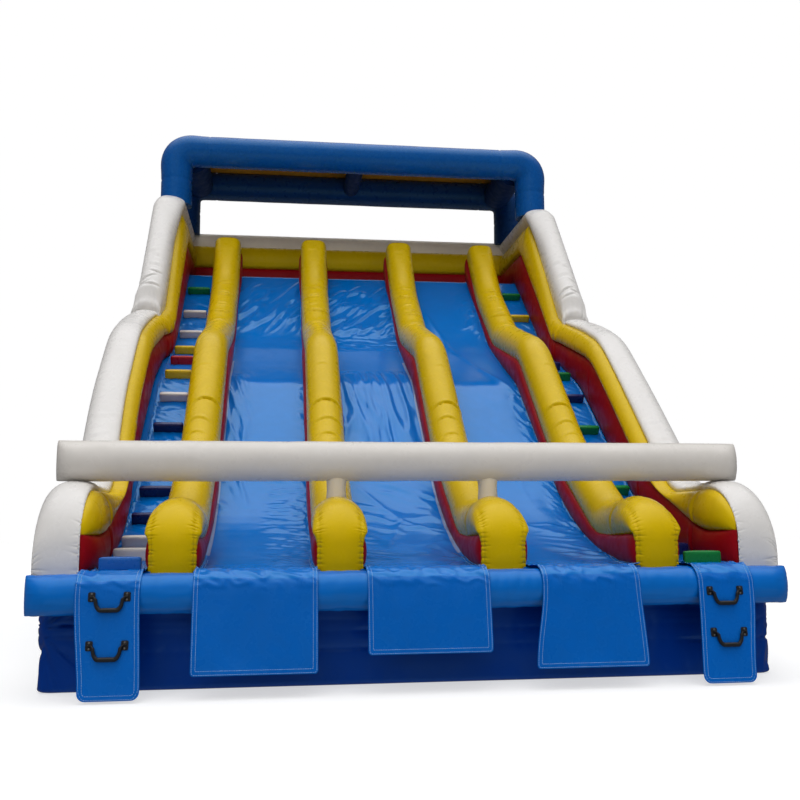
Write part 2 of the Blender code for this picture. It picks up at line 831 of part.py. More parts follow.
def flap_shape(left, right, bottom, corner):
    """Flap with a rolled upper edge on its axis and rounded lower corners."""
    half = SHEET_THICKNESS / 2
    length = flap_length(bottom)
    start = math.asin(half / FLAP_BEAD_RADIUS) - math.pi / 2
    bead = []
    for step in range(10):
        angle = start + (math.pi - 2 * start) * step / 9
        bead.append(flap_place(-FLAP_BEAD_RADIUS * math.sin(angle), FLAP_BEAD_RADIUS * math.cos(angle)))
    edges = []
    for step in range(4):
        angle = math.pi / 2 * step / 3
        edges.append((corner * (1 - math.cos(angle)), length - corner * (1 - math.sin(angle))))
    rows = [(left + inset, depth) for inset, depth in edges]
    rows += [(right - inset, depth) for inset, depth in reversed(edges)]
    rings = []
    for x, depth in rows:
        profile = [flap_place(depth, half)] + bead + [flap_place(depth, -half)]
        rings.append([(x, point.x, point.y) for point in profile])
    return Shape().loft(rings)


def pair_at(pairs, height):
    """Index and pair of points where a sheet's inner face comes down past a height."""
    for index, (first, second) in enumerate(zip(pairs, pairs[1:])):
        if first[0].y > height >= second[0].y:
            share = (first[0].y - height) / (first[0].y - second[0].y)
            return index, tuple(near.lerp(far, share) for near, far in zip(first, second))
    raise ValueError("the sheet doesn't pass this height")


def sheet_stretch(high, low):
    """Inner and outer face of a sheet between two heights, or as far as it goes for None."""
    inner = sheet_path(GAP)
    outer = sheet_path(GAP + SHEET_THICKNESS)
    pairs = [(Vector(near), Vector(far)) for near, far in zip(inner, outer)]
    if low is not None:
        index, pair = pair_at(pairs, low)
        pairs = pairs[:index + 1] + [pair]
    if high is not None:
        index, pair = pair_at(pairs, high - GAP)
        pairs = [pair] + pairs[index + 1:]
    return [pair[0] for pair in pairs], [pair[1] for pair in pairs]


def lane_edges(number):
    """Left and right edge of a lane sheet between two dividers."""
    left = DIVIDER_X[number] + DIVIDER_SEAM_HALF + SHEET_EDGE_MARGIN
    right = DIVIDER_X[number + 1] - DIVIDER_SEAM_HALF - SHEET_EDGE_MARGIN
    return left, right


def stair_edges(sign):
    inner = DIVIDER_X[3] + DIVIDER_SEAM_HALF + SHEET_EDGE_MARGIN
    outer = WALL_INNER_X - SHEET_EDGE_MARGIN
    return sorted((sign * inner, sign * outer))


# Steps on the stairways

def slope_stretch(height, length):
    """Points of the stair sheet's upper face from a height upwards, for a length."""
    path = [point for point in reversed(sheet_path(GAP + SHEET_THICKNESS)) if point[1] > DECK_Z]
    points = []
    left = length
    for first, second in zip(path, path[1:]):
        first = Vector(first)
        second = Vector(second)
        if not points:
            if height == DECK_Z:
                second.y = first.y
                points.append(first)
            elif first.y <= height < second.y:
                first = first.lerp(second, (height - first.y) / (second.y - first.y))
                points.append(first)
        if points:
            run = (second - first).length
            points.append(first.lerp(second, min(1.0, left / run)))
            left -= run
            if left <= 0:
                break
    return points


def steps_shape(sign, table):
    """Soft-edged blocks across a stairway, one for each row of its table."""
    shape = Shape()
    rounding = STEP_ROUNDING
    for colour, height in table:
        foot = slope_stretch(height, STEP_HEIGHT)
        along = (foot[-1] - foot[0]).normalized()
        out = Vector((-along.y, along.x))
        outline = [point - out * SHEET_THICKNESS / 3 for point in foot]
        outline.append(foot[-1] + out * (STEP_DEPTH - rounding))
        outline.append(foot[-1] + out * STEP_DEPTH - along * rounding)
        outline.append(foot[0] + out * STEP_DEPTH + along * rounding)
        outline.append(foot[0] + out * (STEP_DEPTH - rounding))
        rings = []
        for x in (sign * STEP_X - STEP_WIDTH / 2, sign * STEP_X + STEP_WIDTH / 2):
            rings.append([(x, point.x, point.y) for point in outline])
        shape.loft(rings)
    return shape


# Arches and roof

def arch_route():
    """Centre line of an arch in its own plane, from one foot up and over to the other."""
    foot = REAR_WHITE_SEAM_Z + GAP
    bend = ARCH_CENTRE_Z - ARCH_CORNER_RADIUS
    side = ARCH_HALF_WIDTH
    route = [(-side, foot)]
    for step in range(ARCH_CORNER_STEPS + 1):
        angle = math.pi - math.pi / 2 * step / ARCH_CORNER_STEPS
        route.append((-side + ARCH_CORNER_RADIUS + ARCH_CORNER_RADIUS * math.cos(angle),
                      bend + ARCH_CORNER_RADIUS * math.sin(angle)))
    return route + [(-x, z) for x, z in reversed(route)]


def arch_shape(y, radius):
    """Round tube along the arch route."""
    route = arch_route()
    rings = []
    for index, (x, z) in enumerate(route):
        before = Vector(route[max(index - 1, 0)])
        after = Vector(route[min(index + 1, len(route) - 1)])
        here = Vector((x, z))
        if 0 < index < len(route) - 1:
            first = (here - before).normalized()
            second = (after - here).normalized()
            along = (first + second).normalized()
            stretch = 1 / max(0.5, along.dot(first))
        else:
            along = (after - before).normalized()
            stretch = 1.0
        side = (along.y * stretch, 0, -along.x * stretch)
        rings.append(circle((x, y, z), side, (0, 1, 0), radius, TUBE_SIDES))
    return Shape().loft(rings)


def wall_top_cutter(sign):
    """Rounded top of an outer wall, grown by the gap, behind its upper slope."""
    profile = [(WALL_SEAM_X - GAP, PLATFORM_Z)] + rounded_top(WALL_SEAM_X, WALL_OUTER_X, GAP)
    profile.append((WALL_OUTER_X + GAP, PLATFORM_Z))
    rings = [[(sign * x, y, z) for x, z in profile] for y in (WALL_RIDGE[-2][0] + 0.01, REAR_Y + 0.3)]
    return Shape().loft(rings)


def rear_top_cutter():
    """Rounded top of the rear wall, grown by the gap."""
    profile = [(REAR_WALL_FRONT_Y - GAP, PLATFORM_Z)] + rounded_top(REAR_WALL_FRONT_Y, REAR_Y, GAP)
    profile.append((REAR_Y + GAP, PLATFORM_Z))
    rings = [[(x, y, z) for y, z in profile] for x in (-WALL_SEAM_X, WALL_SEAM_X)]
    return Shape().loft(rings)


def roof_tube_shape(x, radius):
    """Tube along the roof, long enough to reach into both arches before it is cut."""
    rings = [circle((x, y, ARCH_CENTRE_Z), (1, 0, 0), (0, 0, 1), radius, TUBE_SIDES)
             for y in (FRONT_ARCH_Y + 0.05, REAR_ARCH_Y - 0.05)]
    return Shape().loft(rings)


def canopy_shape(sign):
    """Thin panel welded high on both beams and lying over the roof tubes."""
    angle = 3 * math.tau / TUBE_SIDES
    reach = ARCH_RADIUS * math.cos(angle) + CANOPY_EDGE_GAP
    front = FRONT_ARCH_Y + reach
    back = REAR_ARCH_Y - reach
    level = ARCH_CENTRE_Z + ARCH_RADIUS * math.sin(angle)
    half = CANOPY_THICKNESS / 2
    rings = []
    for step in range(CANOPY_STEPS + 1):
        share = step / CANOPY_STEPS
        y = front + (back - front) * share
        z = level - CANOPY_SAG * 4 * share * (1 - share)
        rings.append([(sign * CANOPY_PARTING, y, z - half), (sign * CANOPY_HALF_WIDTH, y, z - half),
                      (sign * CANOPY_HALF_WIDTH, y, z + half), (sign * CANOPY_PARTING, y, z + half)])
    return Shape().loft(rings)


# Cross tube and posts

CROSS_Z = WALL_RIDGE[0][1] + GAP + CROSS_RADIUS


def make_cross_tube(material):
    shape = tube_along_x(CROSS_HALF_LENGTH, CROSS_Y, CROSS_Z, CROSS_RADIUS, TUBE_SIDES,
                         CROSS_END_LENGTH, 0.84)
    return add_piece("cross_tube", shape, material)


def make_cross_post(name, x, material):
    """Short tube whose ends follow the divider's nose and the cross tube above it."""
    rings = [circle((x, CROSS_Y, z), (1, 0, 0), (0, 1, 0), POST_RADIUS, TUBE_SIDES)
             for z in (NOSE_TOP_Z - 0.12, CROSS_Z)]
    piece = add_piece(name, Shape().loft(rings), material)
    grown = CROSS_RADIUS + GAP * 1.5
    ends = (x - 2 * POST_RADIUS, x + 2 * POST_RADIUS)
    rings = [circle((end, CROSS_Y, CROSS_Z), (0, 1, 0), (0, 0, 1), grown, TUBE_SIDES) for end in ends]
    cut(piece, Shape().loft(rings), f"{name}_upper_cutter")
    cut(piece, divider_top_shape(x, GAP * 1.5), f"{name}_lower_cutter")
    return piece


# Handles on the ladder flaps

PAD_FACE = SHEET_THICKNESS / 2 + GAP
PIN_OUT = PAD_FACE + HANDLE_STANDOFF


def handle_places(side_sign):
    """Label, centre x and depth below the flap's axis of each handle on one side."""
    middle = side_sign * (LADDER_FLAP_INNER_X + LADDER_FLAP_OUTER_X) / 2
    heights = LEFT_HANDLE_HEIGHTS if side_sign < 0 else RIGHT_HANDLE_HEIGHTS
    for height, level in zip(heights, ("upper", "lower")):
        yield level, middle, flap_length(height)


def on_flap(x, depth, out_distance):
    """Point on a ladder flap in the slide's frame."""
    place = flap_place(depth, out_distance)
    return (x, place.x, place.y)


def prism_on_flap(shape, outline, low, high):
    """Plate standing on a ladder flap: an outline of x and depth between two distances."""
    shape.loft([[on_flap(x, depth, out) for x, depth in outline] for out in (low, high)])


def ends_of(x):
    return x - HANDLE_SPAN / 2, x + HANDLE_SPAN / 2


def backing_shape(x, depth):
    """Webbing strip behind the flap that both ends of a handle are riveted to."""
    half = HANDLE_SPAN / 2 + PAD_WIDTH / 2
    high = depth - BACKING_HEIGHT / 2
    low = depth + BACKING_HEIGHT / 2
    outline = ((x - half, high), (x + half, high), (x + half, low), (x - half, low))
    shape = Shape()
    prism_on_flap(shape, outline, -PAD_FACE - BACKING_THICKNESS, -PAD_FACE)
    return shape


def rivets_shape(x, depth, radius):
    """Rivet shafts through the flap at both ends of a handle."""
    shape = Shape()
    for end in ends_of(x):
        outline = []
        for side in range(8):
            angle = math.tau * side / 8
            outline.append((end + radius * math.cos(angle), depth + radius * math.sin(angle)))
        prism_on_flap(shape, outline, -PAD_FACE - 0.001, PAD_FACE + 0.001)
    return shape


def pads_shape(x, depth):
    """Upright black plates at both ends of a handle, with cut corners."""
    shape = Shape()
    corner = 0.012
    wide = PAD_WIDTH / 2
    tall = PAD_HEIGHT / 2
    for end in ends_of(x):
        outline = []
        for across, along in ((1, 1), (-1, 1), (-1, -1), (1, -1)):
            first = (end + across * (wide - corner), depth + along * tall)
            second = (end + across * wide, depth + along * (tall - corner))
            outline += [first, second] if across * along < 0 else [second, first]
        prism_on_flap(shape, outline, PAD_FACE, PAD_FACE + PAD_THICKNESS)
    return shape


def lugs_shape(x, depth):
    """Rounded lugs on the plates, which hold the pins of the handle."""
    shape = Shape()
    for end in ends_of(x):
        outline = [(-LUG_REACH - 0.003, PAD_FACE + PAD_THICKNESS / 2)]
        for step in range(5):
            angle = math.pi * step / 4
            outline.append((-LUG_REACH * math.cos(angle), PIN_OUT + LUG_REACH * math.sin(angle)))
        outline.append((LUG_REACH + 0.003, PAD_FACE + PAD_THICKNESS / 2))
        rings = [[on_flap(end + side * LUG_WIDTH / 2, depth + along, out) for along, out in outline]
                 for side in (-1, 1)]
        shape.loft(rings)
    return shape


def pin_holes_shape(x, depth):
    """Round bore across both lugs for the pins of a handle."""
    half = HANDLE_SPAN / 2 + LUG_WIDTH
    rings = []
    for place in (x - half, x + half):
        ring = []
        for side in range(8):
            angle = math.tau * side / 8
            ring.append(on_flap(place, depth + PIN_HOLE_RADIUS * math.cos(angle),
                                PIN_OUT + PIN_HOLE_RADIUS * math.sin(angle)))
        rings.append(ring)
    return Shape().loft(rings)


def handle_shape(x, depth):
    """Black grip hanging in a U between two pins."""
    half = HANDLE_SPAN / 2
    leg = half - 0.034
    stations_left = [(-half - 0.014, 0.0, HANDLE_PIN_RADIUS), (-half + 0.018, 0.0, HANDLE_PIN_RADIUS)]
    bow = []
    for step in range(1, HANDLE_STEPS):
        angle = math.pi * step / HANDLE_STEPS
        across = math.copysign(abs(math.cos(angle)) ** 0.75, math.cos(angle))
        drop = 0.010 + (HANDLE_DROP - 0.010) * math.sin(angle) ** 0.8
        swell = math.sin(angle) ** 2
        radius = HANDLE_NECK_RADIUS + (HANDLE_GRIP_RADIUS - HANDLE_NECK_RADIUS) * swell
        bow.append((-leg * across, drop, radius))
    stations_right = [(-across, drop, radius) for across, drop, radius in reversed(stations_left)]
    route = stations_left + bow + stations_right
    origin = Vector(on_flap(x, depth, PIN_OUT))
    down = Vector(on_flap(x, depth + 1, PIN_OUT)) - origin
    out = Vector(on_flap(x, depth, PIN_OUT + 1)) - origin
    side = Vector((1, 0, 0))
    centres = [origin + side * across + down * drop for across, drop, radius in route]
    rings = []
    for index, (across, drop, radius) in enumerate(route):
        before = centres[max(index - 1, 0)]
        after = centres[min(index + 1, len(centres) - 1)]
        along = (after - before).normalized()
        rings.append(circle(centres[index], along.cross(out), out, radius, 8))
    return Shape().loft(rings)


def make_handles(side, sign, flap, paint):
    for level, x, depth in handle_places(sign):
        base = add_piece(f"handle_base_{side}_{level}", backing_shape(x, depth), paint["rubber"],
                         origin=place_of(flap), parent=flap)
        unite(base, rivets_shape(x, depth, RIVET_RADIUS), f"rivets_{side}_{level}")
        unite(base, pads_shape(x, depth), f"pads_{side}_{level}")
        unite(base, lugs_shape(x, depth), f"lugs_{side}_{level}")
        cut(base, pin_holes_shape(x, depth), f"pin_holes_{side}_{level}")
        cut(flap, rivets_shape(x, depth, RIVET_RADIUS + GAP), f"rivet_holes_{side}_{level}")
        add_piece(f"handle_{side}_{level}", handle_shape(x, depth), paint["rubber"],
                  origin=on_flap(x, depth, PIN_OUT), parent=flap)


# Mooring rings and air valve

def ring_bar_x(sign):
    return sign * (BASE_HALF_WIDTH + RING_STANDOFF)


def mooring_ring_shape(sign):
    """D-shaped ring of round rod: a straight bar at the top and a bow below it."""
    centres = [(RING_Y + RING_HALF_WIDTH * share, FITTING_Z) for share in (-1.0, -0.5, 0.5, 1.0)]
    for step in range(1, 8):
        angle = math.pi * step / 8
        centres.append((RING_Y + RING_HALF_WIDTH * math.cos(angle), FITTING_Z - RING_DROP * math.sin(angle)))
    rings = []
    count = len(centres)
    for index, (cy, cz) in enumerate(centres):
        along = (Vector(centres[(index + 1) % count]) - Vector(centres[index - 1])).normalized()
        side = (0, along.y, -along.x)
        rings.append(circle((ring_bar_x(sign), cy, cz), side, (1, 0, 0), RING_ROD_RADIUS, 6))
    return Shape().ring_loft(rings)


def make_mooring(side, sign, paint):
    """Welded patch with a webbing loop, and the ring that swings in the loop."""
    wall = BASE_HALF_WIDTH + GAP
    plate = Shape().loft([circle((sign * x, RING_Y, FITTING_Z), (0, 1, 0), (0, 0, 1), PATCH_RADIUS, TUBE_SIDES)
                          for x in (wall, wall + PATCH_THICKNESS)])
    patch = add_piece(f"mooring_patch_{side}", plate, paint["deep"])
    outline = [(wall + PATCH_THICKNESS / 2, -LOOP_HALF_SIZE - 0.003)]
    for step in range(5):
        angle = math.pi * step / 4
        outline.append((BASE_HALF_WIDTH + RING_STANDOFF + LOOP_HALF_SIZE * math.sin(angle),
                        -LOOP_HALF_SIZE * math.cos(angle)))
    outline.append((wall + PATCH_THICKNESS / 2, LOOP_HALF_SIZE + 0.003))
    rings = [[(sign * x, RING_Y + along * LOOP_LENGTH / 2, FITTING_Z + z) for x, z in outline]
             for along in (-1, 1)]
    unite(patch, Shape().loft(rings), f"loop_{side}")
    rings = [circle((ring_bar_x(sign), RING_Y + along * LOOP_LENGTH, FITTING_Z), (1, 0, 0), (0, 0, 1),
                    RING_HOLE_RADIUS, 8) for along in (-1, 1)]
    cut(patch, Shape().loft(rings), f"loop_hole_{side}")
    add_piece(f"mooring_ring_{side}", mooring_ring_shape(sign), paint["steel"],
              origin=(ring_bar_x(sign), RING_Y, FITTING_Z))


def valve_circle(x, radius):
    return circle((x, VALVE_Y, FITTING_Z), (0, 1, 0), (0, 0, 1), radius, ROUND_SIDES)


def make_valve(paint):
    """Air valve on the right side of the base and its quarter-turn cap."""
    flange = BASE_HALF_WIDTH + GAP
    neck = flange + VALVE_FLANGE_THICKNESS
    top = neck + VALVE_NECK_LENGTH
    rings = [valve_circle(flange, VALVE_FLANGE_RADIUS), valve_circle(neck, VALVE_FLANGE_RADIUS * 0.97),
             valve_circle(neck, VALVE_NECK_RADIUS), valve_circle(top, VALVE_NECK_RADIUS)]
    add_piece("valve_body", Shape().loft(rings), paint["rubber"])
    inner = VALVE_NECK_RADIUS + VALVE_CLEARANCE
    outer = inner + VALVE_CAP_WALL
    mouth = neck + VALVE_CLEARANCE
    rim = []
    for x, share in ((mouth, 1.0), (mouth + VALVE_CAP_LENGTH - 0.004, 1.0), (mouth + VALVE_CAP_LENGTH, 0.9)):
        ring = []
        for side, (place, y, z) in enumerate(valve_circle(x, 1.0)):
            reach = (outer + (VALVE_CAP_LUG if side % 4 < 2 else 0.0)) * share
            ring.append((place, VALVE_Y + (y - VALVE_Y) * reach, FITTING_Z + (z - FITTING_Z) * reach))
        rim.append(ring)
    rings = [valve_circle(top + VALVE_CLEARANCE, inner), valve_circle(mouth, inner)] + rim
    add_piece("valve_cap", Shape().loft(rings), paint["rubber"], origin=(mouth, VALVE_Y, FITTING_Z))


# Whole slide

def make_paint():
    return {
        "blue": make_material("blue_pvc", (0.010, 0.130, 0.480), 0.35),
        "deep": make_material("deep_blue_pvc", (0.008, 0.050, 0.240), 0.35),
        "yellow": make_material("yellow_pvc", (0.800, 0.580, 0.020), 0.35),
        "red": make_material("red_pvc", (0.420, 0.010, 0.020), 0.35),
        "white": make_material("white_pvc", (0.780, 0.770, 0.750), 0.40),
        "orange": make_material("canopy_pvc", (0.820, 0.480, 0.060), 0.45),
        "rubber": make_material("black_rubber", (0.012, 0.012, 0.013), 0.50),
        "steel": make_material("stainless_steel", (0.620, 0.620, 0.630), 0.25, 1.0),
    }


def make_walls(paint):
    for number, x in enumerate(DIVIDER_X, start=1):
        add_piece(f"divider_top_{number}", divider_top_shape(x), paint["yellow"])
        add_piece(f"divider_side_{number}", divider_side_shape(x), paint["red"])
    for sign, side in ((-1, "left"), (1, "right")):
        add_piece(f"outer_wall_white_{side}", wall_white_shape(sign), paint["white"])
        add_piece(f"outer_wall_yellow_{side}", wall_lobe_shape("yellow", sign), paint["yellow"])
        add_piece(f"outer_wall_red_{side}", wall_lobe_shape("red", sign), paint["red"])
    add_piece("rear_wall_white", rear_white_shape(), paint["white"])
    add_piece("rear_wall_yellow", rear_lobe_shape("yellow"), paint["yellow"])
    add_piece("rear_wall_red", rear_lobe_shape("red"), paint["red"])


def make_lanes(paint):
    inner = sheet_path(GAP)
    outer = sheet_path(GAP + SHEET_THICKNESS)
    axis = flap_axis()
    for number, bottom in enumerate(LANE_FLAP_BOTTOMS):
        left, right = lane_edges(number)
        add_piece(f"lane_sheet_{number + 1}", strip_shape(left, right, inner, outer), paint["blue"])
        add_piece(f"lane_flap_{number + 1}", flap_shape(left, right, bottom, LANE_FLAP_CORNER),
                  paint["blue"], origin=((left + right) / 2, axis.x, axis.y))


def make_stairways(paint):
    axis = flap_axis()
    for sign, side, table in ((-1, "left", STEPS_LEFT), (1, "right", STEPS_RIGHT)):
        left, right = stair_edges(sign)
        for part, high, low in STAIR_PARTS:
            stair = add_piece(f"stair_{side}_{part}", strip_shape(left, right, *sheet_stretch(high, low)),
                              paint["blue"])
            rows = [row for row in table if (high is None or row[1] < high) and (low is None or row[1] > low)]
            unite(stair, steps_shape(sign, rows), f"step_blocks_{side}_{part}")
        left, right = sorted((sign * LADDER_FLAP_INNER_X, sign * LADDER_FLAP_OUTER_X))
        flap = add_piece(f"ladder_flap_{side}",
                         flap_shape(left, right, LADDER_FLAP_BOTTOM, LADDER_FLAP_CORNER),
                         paint["blue"], origin=((left + right) / 2, axis.x, axis.y))
        make_handles(side, sign, flap, paint)


def make_roof(paint):
    front = add_piece("front_arch", arch_shape(FRONT_ARCH_Y, ARCH_RADIUS), paint["blue"])
    rear = add_piece("rear_arch", arch_shape(REAR_ARCH_Y, ARCH_RADIUS), paint["blue"])
    for sign, side in ((-1, "left"), (1, "right")):
        cut(front, wall_top_cutter(sign), f"front_foot_cutter_{side}")
        cut(rear, wall_top_cutter(sign), f"rear_foot_cutter_{side}")
    cut(rear, rear_top_cutter(), "rear_wall_cutter")
    grown = ARCH_RADIUS + GAP * 1.5
    tubes = (("roof_side_tube_left", -ROOF_SIDE_X, ROOF_SIDE_RADIUS),
             ("roof_centre_tube", 0.0, ROOF_CENTRE_RADIUS),
             ("roof_side_tube_right", ROOF_SIDE_X, ROOF_SIDE_RADIUS))
    for name, x, radius in tubes:
        tube = add_piece(name, roof_tube_shape(x, radius), paint["blue"])
        cut(tube, arch_shape(FRONT_ARCH_Y, grown), f"{name}_front_cutter")
        cut(tube, arch_shape(REAR_ARCH_Y, grown), f"{name}_rear_cutter")
    add_piece("canopy_left", canopy_shape(-1), paint["orange"])
    add_piece("canopy_right", canopy_shape(1), paint["orange"])


def centre_on_footprint():
    """Move the whole slide so that the origin is the middle of its footprint."""
    bpy.context.view_layer.update()
    places = [(piece.matrix_world @ vertex.co).y for piece in MODEL for vertex in piece.data.vertices]
    ORIGIN.location.y = -(min(places) + max(places)) / 2


def main():
    clear_scene()
    paint = make_paint()
    make_float_base(paint["deep"])
    make_bumper_tube(paint["blue"])
    make_slide_body(paint["blue"])
    make_walls(paint)
    make_lanes(paint)
    make_stairways(paint)
    make_roof(paint)
    make_cross_tube(paint["white"])
    for sign, side in ((-1, "left"), (1, "right")):
        make_side_ribs(f"side_ribs_{side}", sign, paint["blue"])
        make_cross_post(f"cross_post_{side}", sign * INNER_DIVIDER_X, paint["white"])
        make_mooring(side, sign, paint)
    make_valve(paint)
    centre_on_footprint()


main()
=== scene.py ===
"""Looks of the floating water slide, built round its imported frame.

Metres, +Z up. X runs across the slide and Y from front to back. Shapes are worked out in the
slide's own frame, where y = 0 is the plane of the rounded noses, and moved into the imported
frame by SHIFT when a mesh is made.
"""
import math

import bmesh
import bpy
import numpy as np
from mathutils import Matrix, Vector


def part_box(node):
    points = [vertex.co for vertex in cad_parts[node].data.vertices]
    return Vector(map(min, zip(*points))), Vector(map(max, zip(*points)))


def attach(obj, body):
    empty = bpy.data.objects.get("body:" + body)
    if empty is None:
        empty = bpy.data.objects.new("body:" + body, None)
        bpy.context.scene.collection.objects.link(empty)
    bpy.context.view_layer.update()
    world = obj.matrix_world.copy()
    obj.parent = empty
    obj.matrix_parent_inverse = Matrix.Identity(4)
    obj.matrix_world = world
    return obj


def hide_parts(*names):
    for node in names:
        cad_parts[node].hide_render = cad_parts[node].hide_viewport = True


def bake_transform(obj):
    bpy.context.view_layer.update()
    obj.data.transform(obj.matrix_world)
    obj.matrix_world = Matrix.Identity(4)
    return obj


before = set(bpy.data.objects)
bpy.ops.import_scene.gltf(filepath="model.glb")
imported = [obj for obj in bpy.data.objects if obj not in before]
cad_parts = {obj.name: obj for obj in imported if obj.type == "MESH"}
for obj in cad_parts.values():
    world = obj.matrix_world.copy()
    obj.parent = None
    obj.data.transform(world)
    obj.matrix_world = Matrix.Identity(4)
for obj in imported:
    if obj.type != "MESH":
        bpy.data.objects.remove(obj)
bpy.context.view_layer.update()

GAP = 0.0003
SIDES = ((-1, "left"), (1, "right"))

# Float base
BASE_HALF_WIDTH = 3.46
BASE_FRONT_Y = 0.12
BASE_TOP_Z = 0.80
BASE_CORNER_RADIUS = 0.16
BASE_EDGE_RADIUS = 0.07
CREASE_HEIGHTS = (0.34, 0.49)

# Bumper tube
BUMPER_RADIUS = 0.18
BUMPER_Y = -0.136
BUMPER_HALF_LENGTH = 3.465
BUMPER_MIDDLE_X = -0.015

# Sliding surface: corners of its side view, y, z and rounding radius
DECK_Z = 1.05
PLATFORM_Z = 5.84
REAR_Y = 9.42
BED_CORNERS = ((1.62, DECK_Z, 4.0), (4.375, 3.40, 1.2), (6.12, 4.26, 2.5), (7.88, PLATFORM_Z, 0.25))
BODY_HALF_WIDTH = 3.10
SIDE_OUTER_X = 3.42
RIB_BULGE = 0.05
SIDE_RIB_COUNT = 11
BACK_RIB_COUNT = 7
ROWS_PER_RIB = 22

# Dividers: seams and ridges are y, z points of a side view
DIVIDER_X = (-2.276, -0.7675, 0.7675, 2.276)
DIVIDER_SEAM_HALF = 0.205
DIVIDER_FRONT_HALF = 0.215
DIVIDER_RUN_HALF = 0.2281
DIVIDER_TOP_HEIGHT = 0.345
DIVIDER_RED_BULGE = 0.05
DIVIDER_START_Y = 0.05
DIVIDER_END_Y = 7.87
DIVIDER_SEAM = ((-0.20, 1.365), (0.70, 1.325), (1.25, 1.345), (2.80, 2.27),
                (4.30, 3.76), (5.92, 4.29), (7.05, 5.21), (8.10, 6.58))
NOSE_LENGTH = 0.50
NOSE_START_Z = 1.28
NOSE_TOP_Z = 1.715
NOSE_STEPS = 5
NOSE_CROWDING = 1.3
NOSE_SEAM_Y = 0.10
NOSE_HALF_WIDTH = 0.256
NOSE_PANEL_HALF = 0.196
NOSE_CREASE_Y = 0.66

# Outer walls and rear wall
WALL_OUTER_X = 3.48
WALL_SEAM_X = 3.08
WALL_INNER_X = 2.985
WALL_SPREAD = {-1: 0.095, 1: 0.025}
LOBE_SWELL = {"yellow": 0.095, "red": 0.060}
WALL_EDGE_DROP = 0.20
WALL_NOSE_LENGTH = 0.60
WALL_TOP_Z = 7.00
REAR_WHITE_SEAM_Z = 6.70
REAR_YELLOW_SEAM_Z = 6.26
REAR_WALL_FRONT_Y = 9.02
COLLAR_Y = 5.342
WALL_RIDGE = ((0.60, 1.876), (1.45, 1.870), (3.42, 3.72), (3.80, 4.06), (4.45, 4.34), (5.34, 4.62),
              (5.46, 5.02), (6.88, 6.90), (7.05, WALL_TOP_Z), (REAR_Y, WALL_TOP_Z))
WALL_WHITE_SEAM = ((0.60, 1.79), (1.52, 1.78), (3.40, 3.58), (3.80, 3.94), (4.45, 4.22), (5.40, 4.55),
                   (5.60, 4.70), (7.08, REAR_WHITE_SEAM_Z), (REAR_Y, REAR_WHITE_SEAM_Z))
WALL_YELLOW_SEAM = ((0.02, 1.38), (0.55, 1.36), (2.05, 2.02), (3.62, 3.52), (3.90, 3.72), (5.52, 4.30),
                    (7.36, REAR_YELLOW_SEAM_Z), (REAR_Y, REAR_YELLOW_SEAM_Z))

# Sheets and flaps
SHEET_OFFSET = 0.0045
SHEET_THICKNESS = 0.0024
SHEET_EDGE_MARGIN = 0.012
SHEET_TOP_Y = 8.05
LANE_FLAP_BOTTOMS = (0.19, 0.33, 0.18)
LANE_FLAP_CORNER = 0.030
LANE_3_CROWN = (1.03, 1.945)
LANE_3_FLAP = (0.94, 1.970)
LANE_TAPE = {1: "left", 2: "right"}
TAPE_COLUMNS = 5
LADDER_FLAP_BOTTOM = 0.015
LADDER_FLAP_CORNER = 0.070
STAIR_CROWN = (2.495, 3.035)
STAIR_FLAP = (2.465, 2.970)
FLAP_LEAN = math.radians(7.0)
FLAP_AXIS = (-0.3176, 0.9152)
HEM = 0.052
STITCH_START = -1.20
STITCH_INSETS = (0.011, 0.042)
STITCH_LENGTH = 0.013
STITCH_PITCH = 0.020
STITCH_HALF_WIDTH = 0.0026

# Steps: colour and height of the lower front edge, from the deck upwards
STEP_DEPTH = 0.13
STEP_HEIGHT = 0.072
STEP_WIDTH = 0.37
STEP_EDGE_RADIUS = 0.019
STEP_X = 2.732
STEPS = {
    "left": (("blue", DECK_Z), ("white", 1.105), ("white", 1.215), ("navy", 1.450), ("navy", 1.760),
             ("yellow", 2.150), ("navy", 2.600), ("white", 3.060), ("yellow", 3.440), ("red", 3.740),
             ("yellow", 3.980), ("white", 4.350), ("white", 4.790), ("green", 5.330)),
    # On the right, the navy of the step at 3.740 is painted shade: a dark block where that step lies in shade.
    "right": (("green", DECK_Z), ("navy", 1.105), ("yellow", 1.215), ("navy", 1.450), ("green", 1.760),
              ("white", 2.150), ("green", 2.600), ("navy", 3.100), ("green", 3.500), ("navy", 3.740),
              ("red", 3.980), ("white", 4.350), ("yellow", 4.850), ("green", 5.370)),
}

# Arches and roof
ARCH_RADIUS = 0.27
ARCH_HALF_WIDTH = 3.165
ARCH_CENTRE_Z = 7.935
ARCH_CORNER_RADIUS = 0.31
ARCH_FOOT_Z = REAR_WHITE_SEAM_Z + 0.22
ARCH_CORNER_MARK = 0.95
FRONT_ARCH_Y = 7.42
REAR_ARCH_Y = 9.13
ROOF_SIDE_RADIUS = 0.262
ROOF_SIDE_X = 2.905
ROOF_CENTRE_RADIUS = 0.155
CANOPY_EDGE_X = 2.81
CANOPY_SAG = 0.034

# Cross tube and posts
CROSS_RADIUS = 0.20
CROSS_Y = 0.70
CROSS_Z = 2.0763
CROSS_HALF_LENGTH = 3.44
CROSS_MIDDLE_X = -0.01
POST_RADIUS = 0.10
POST_ENDS = (1.72, 1.87)

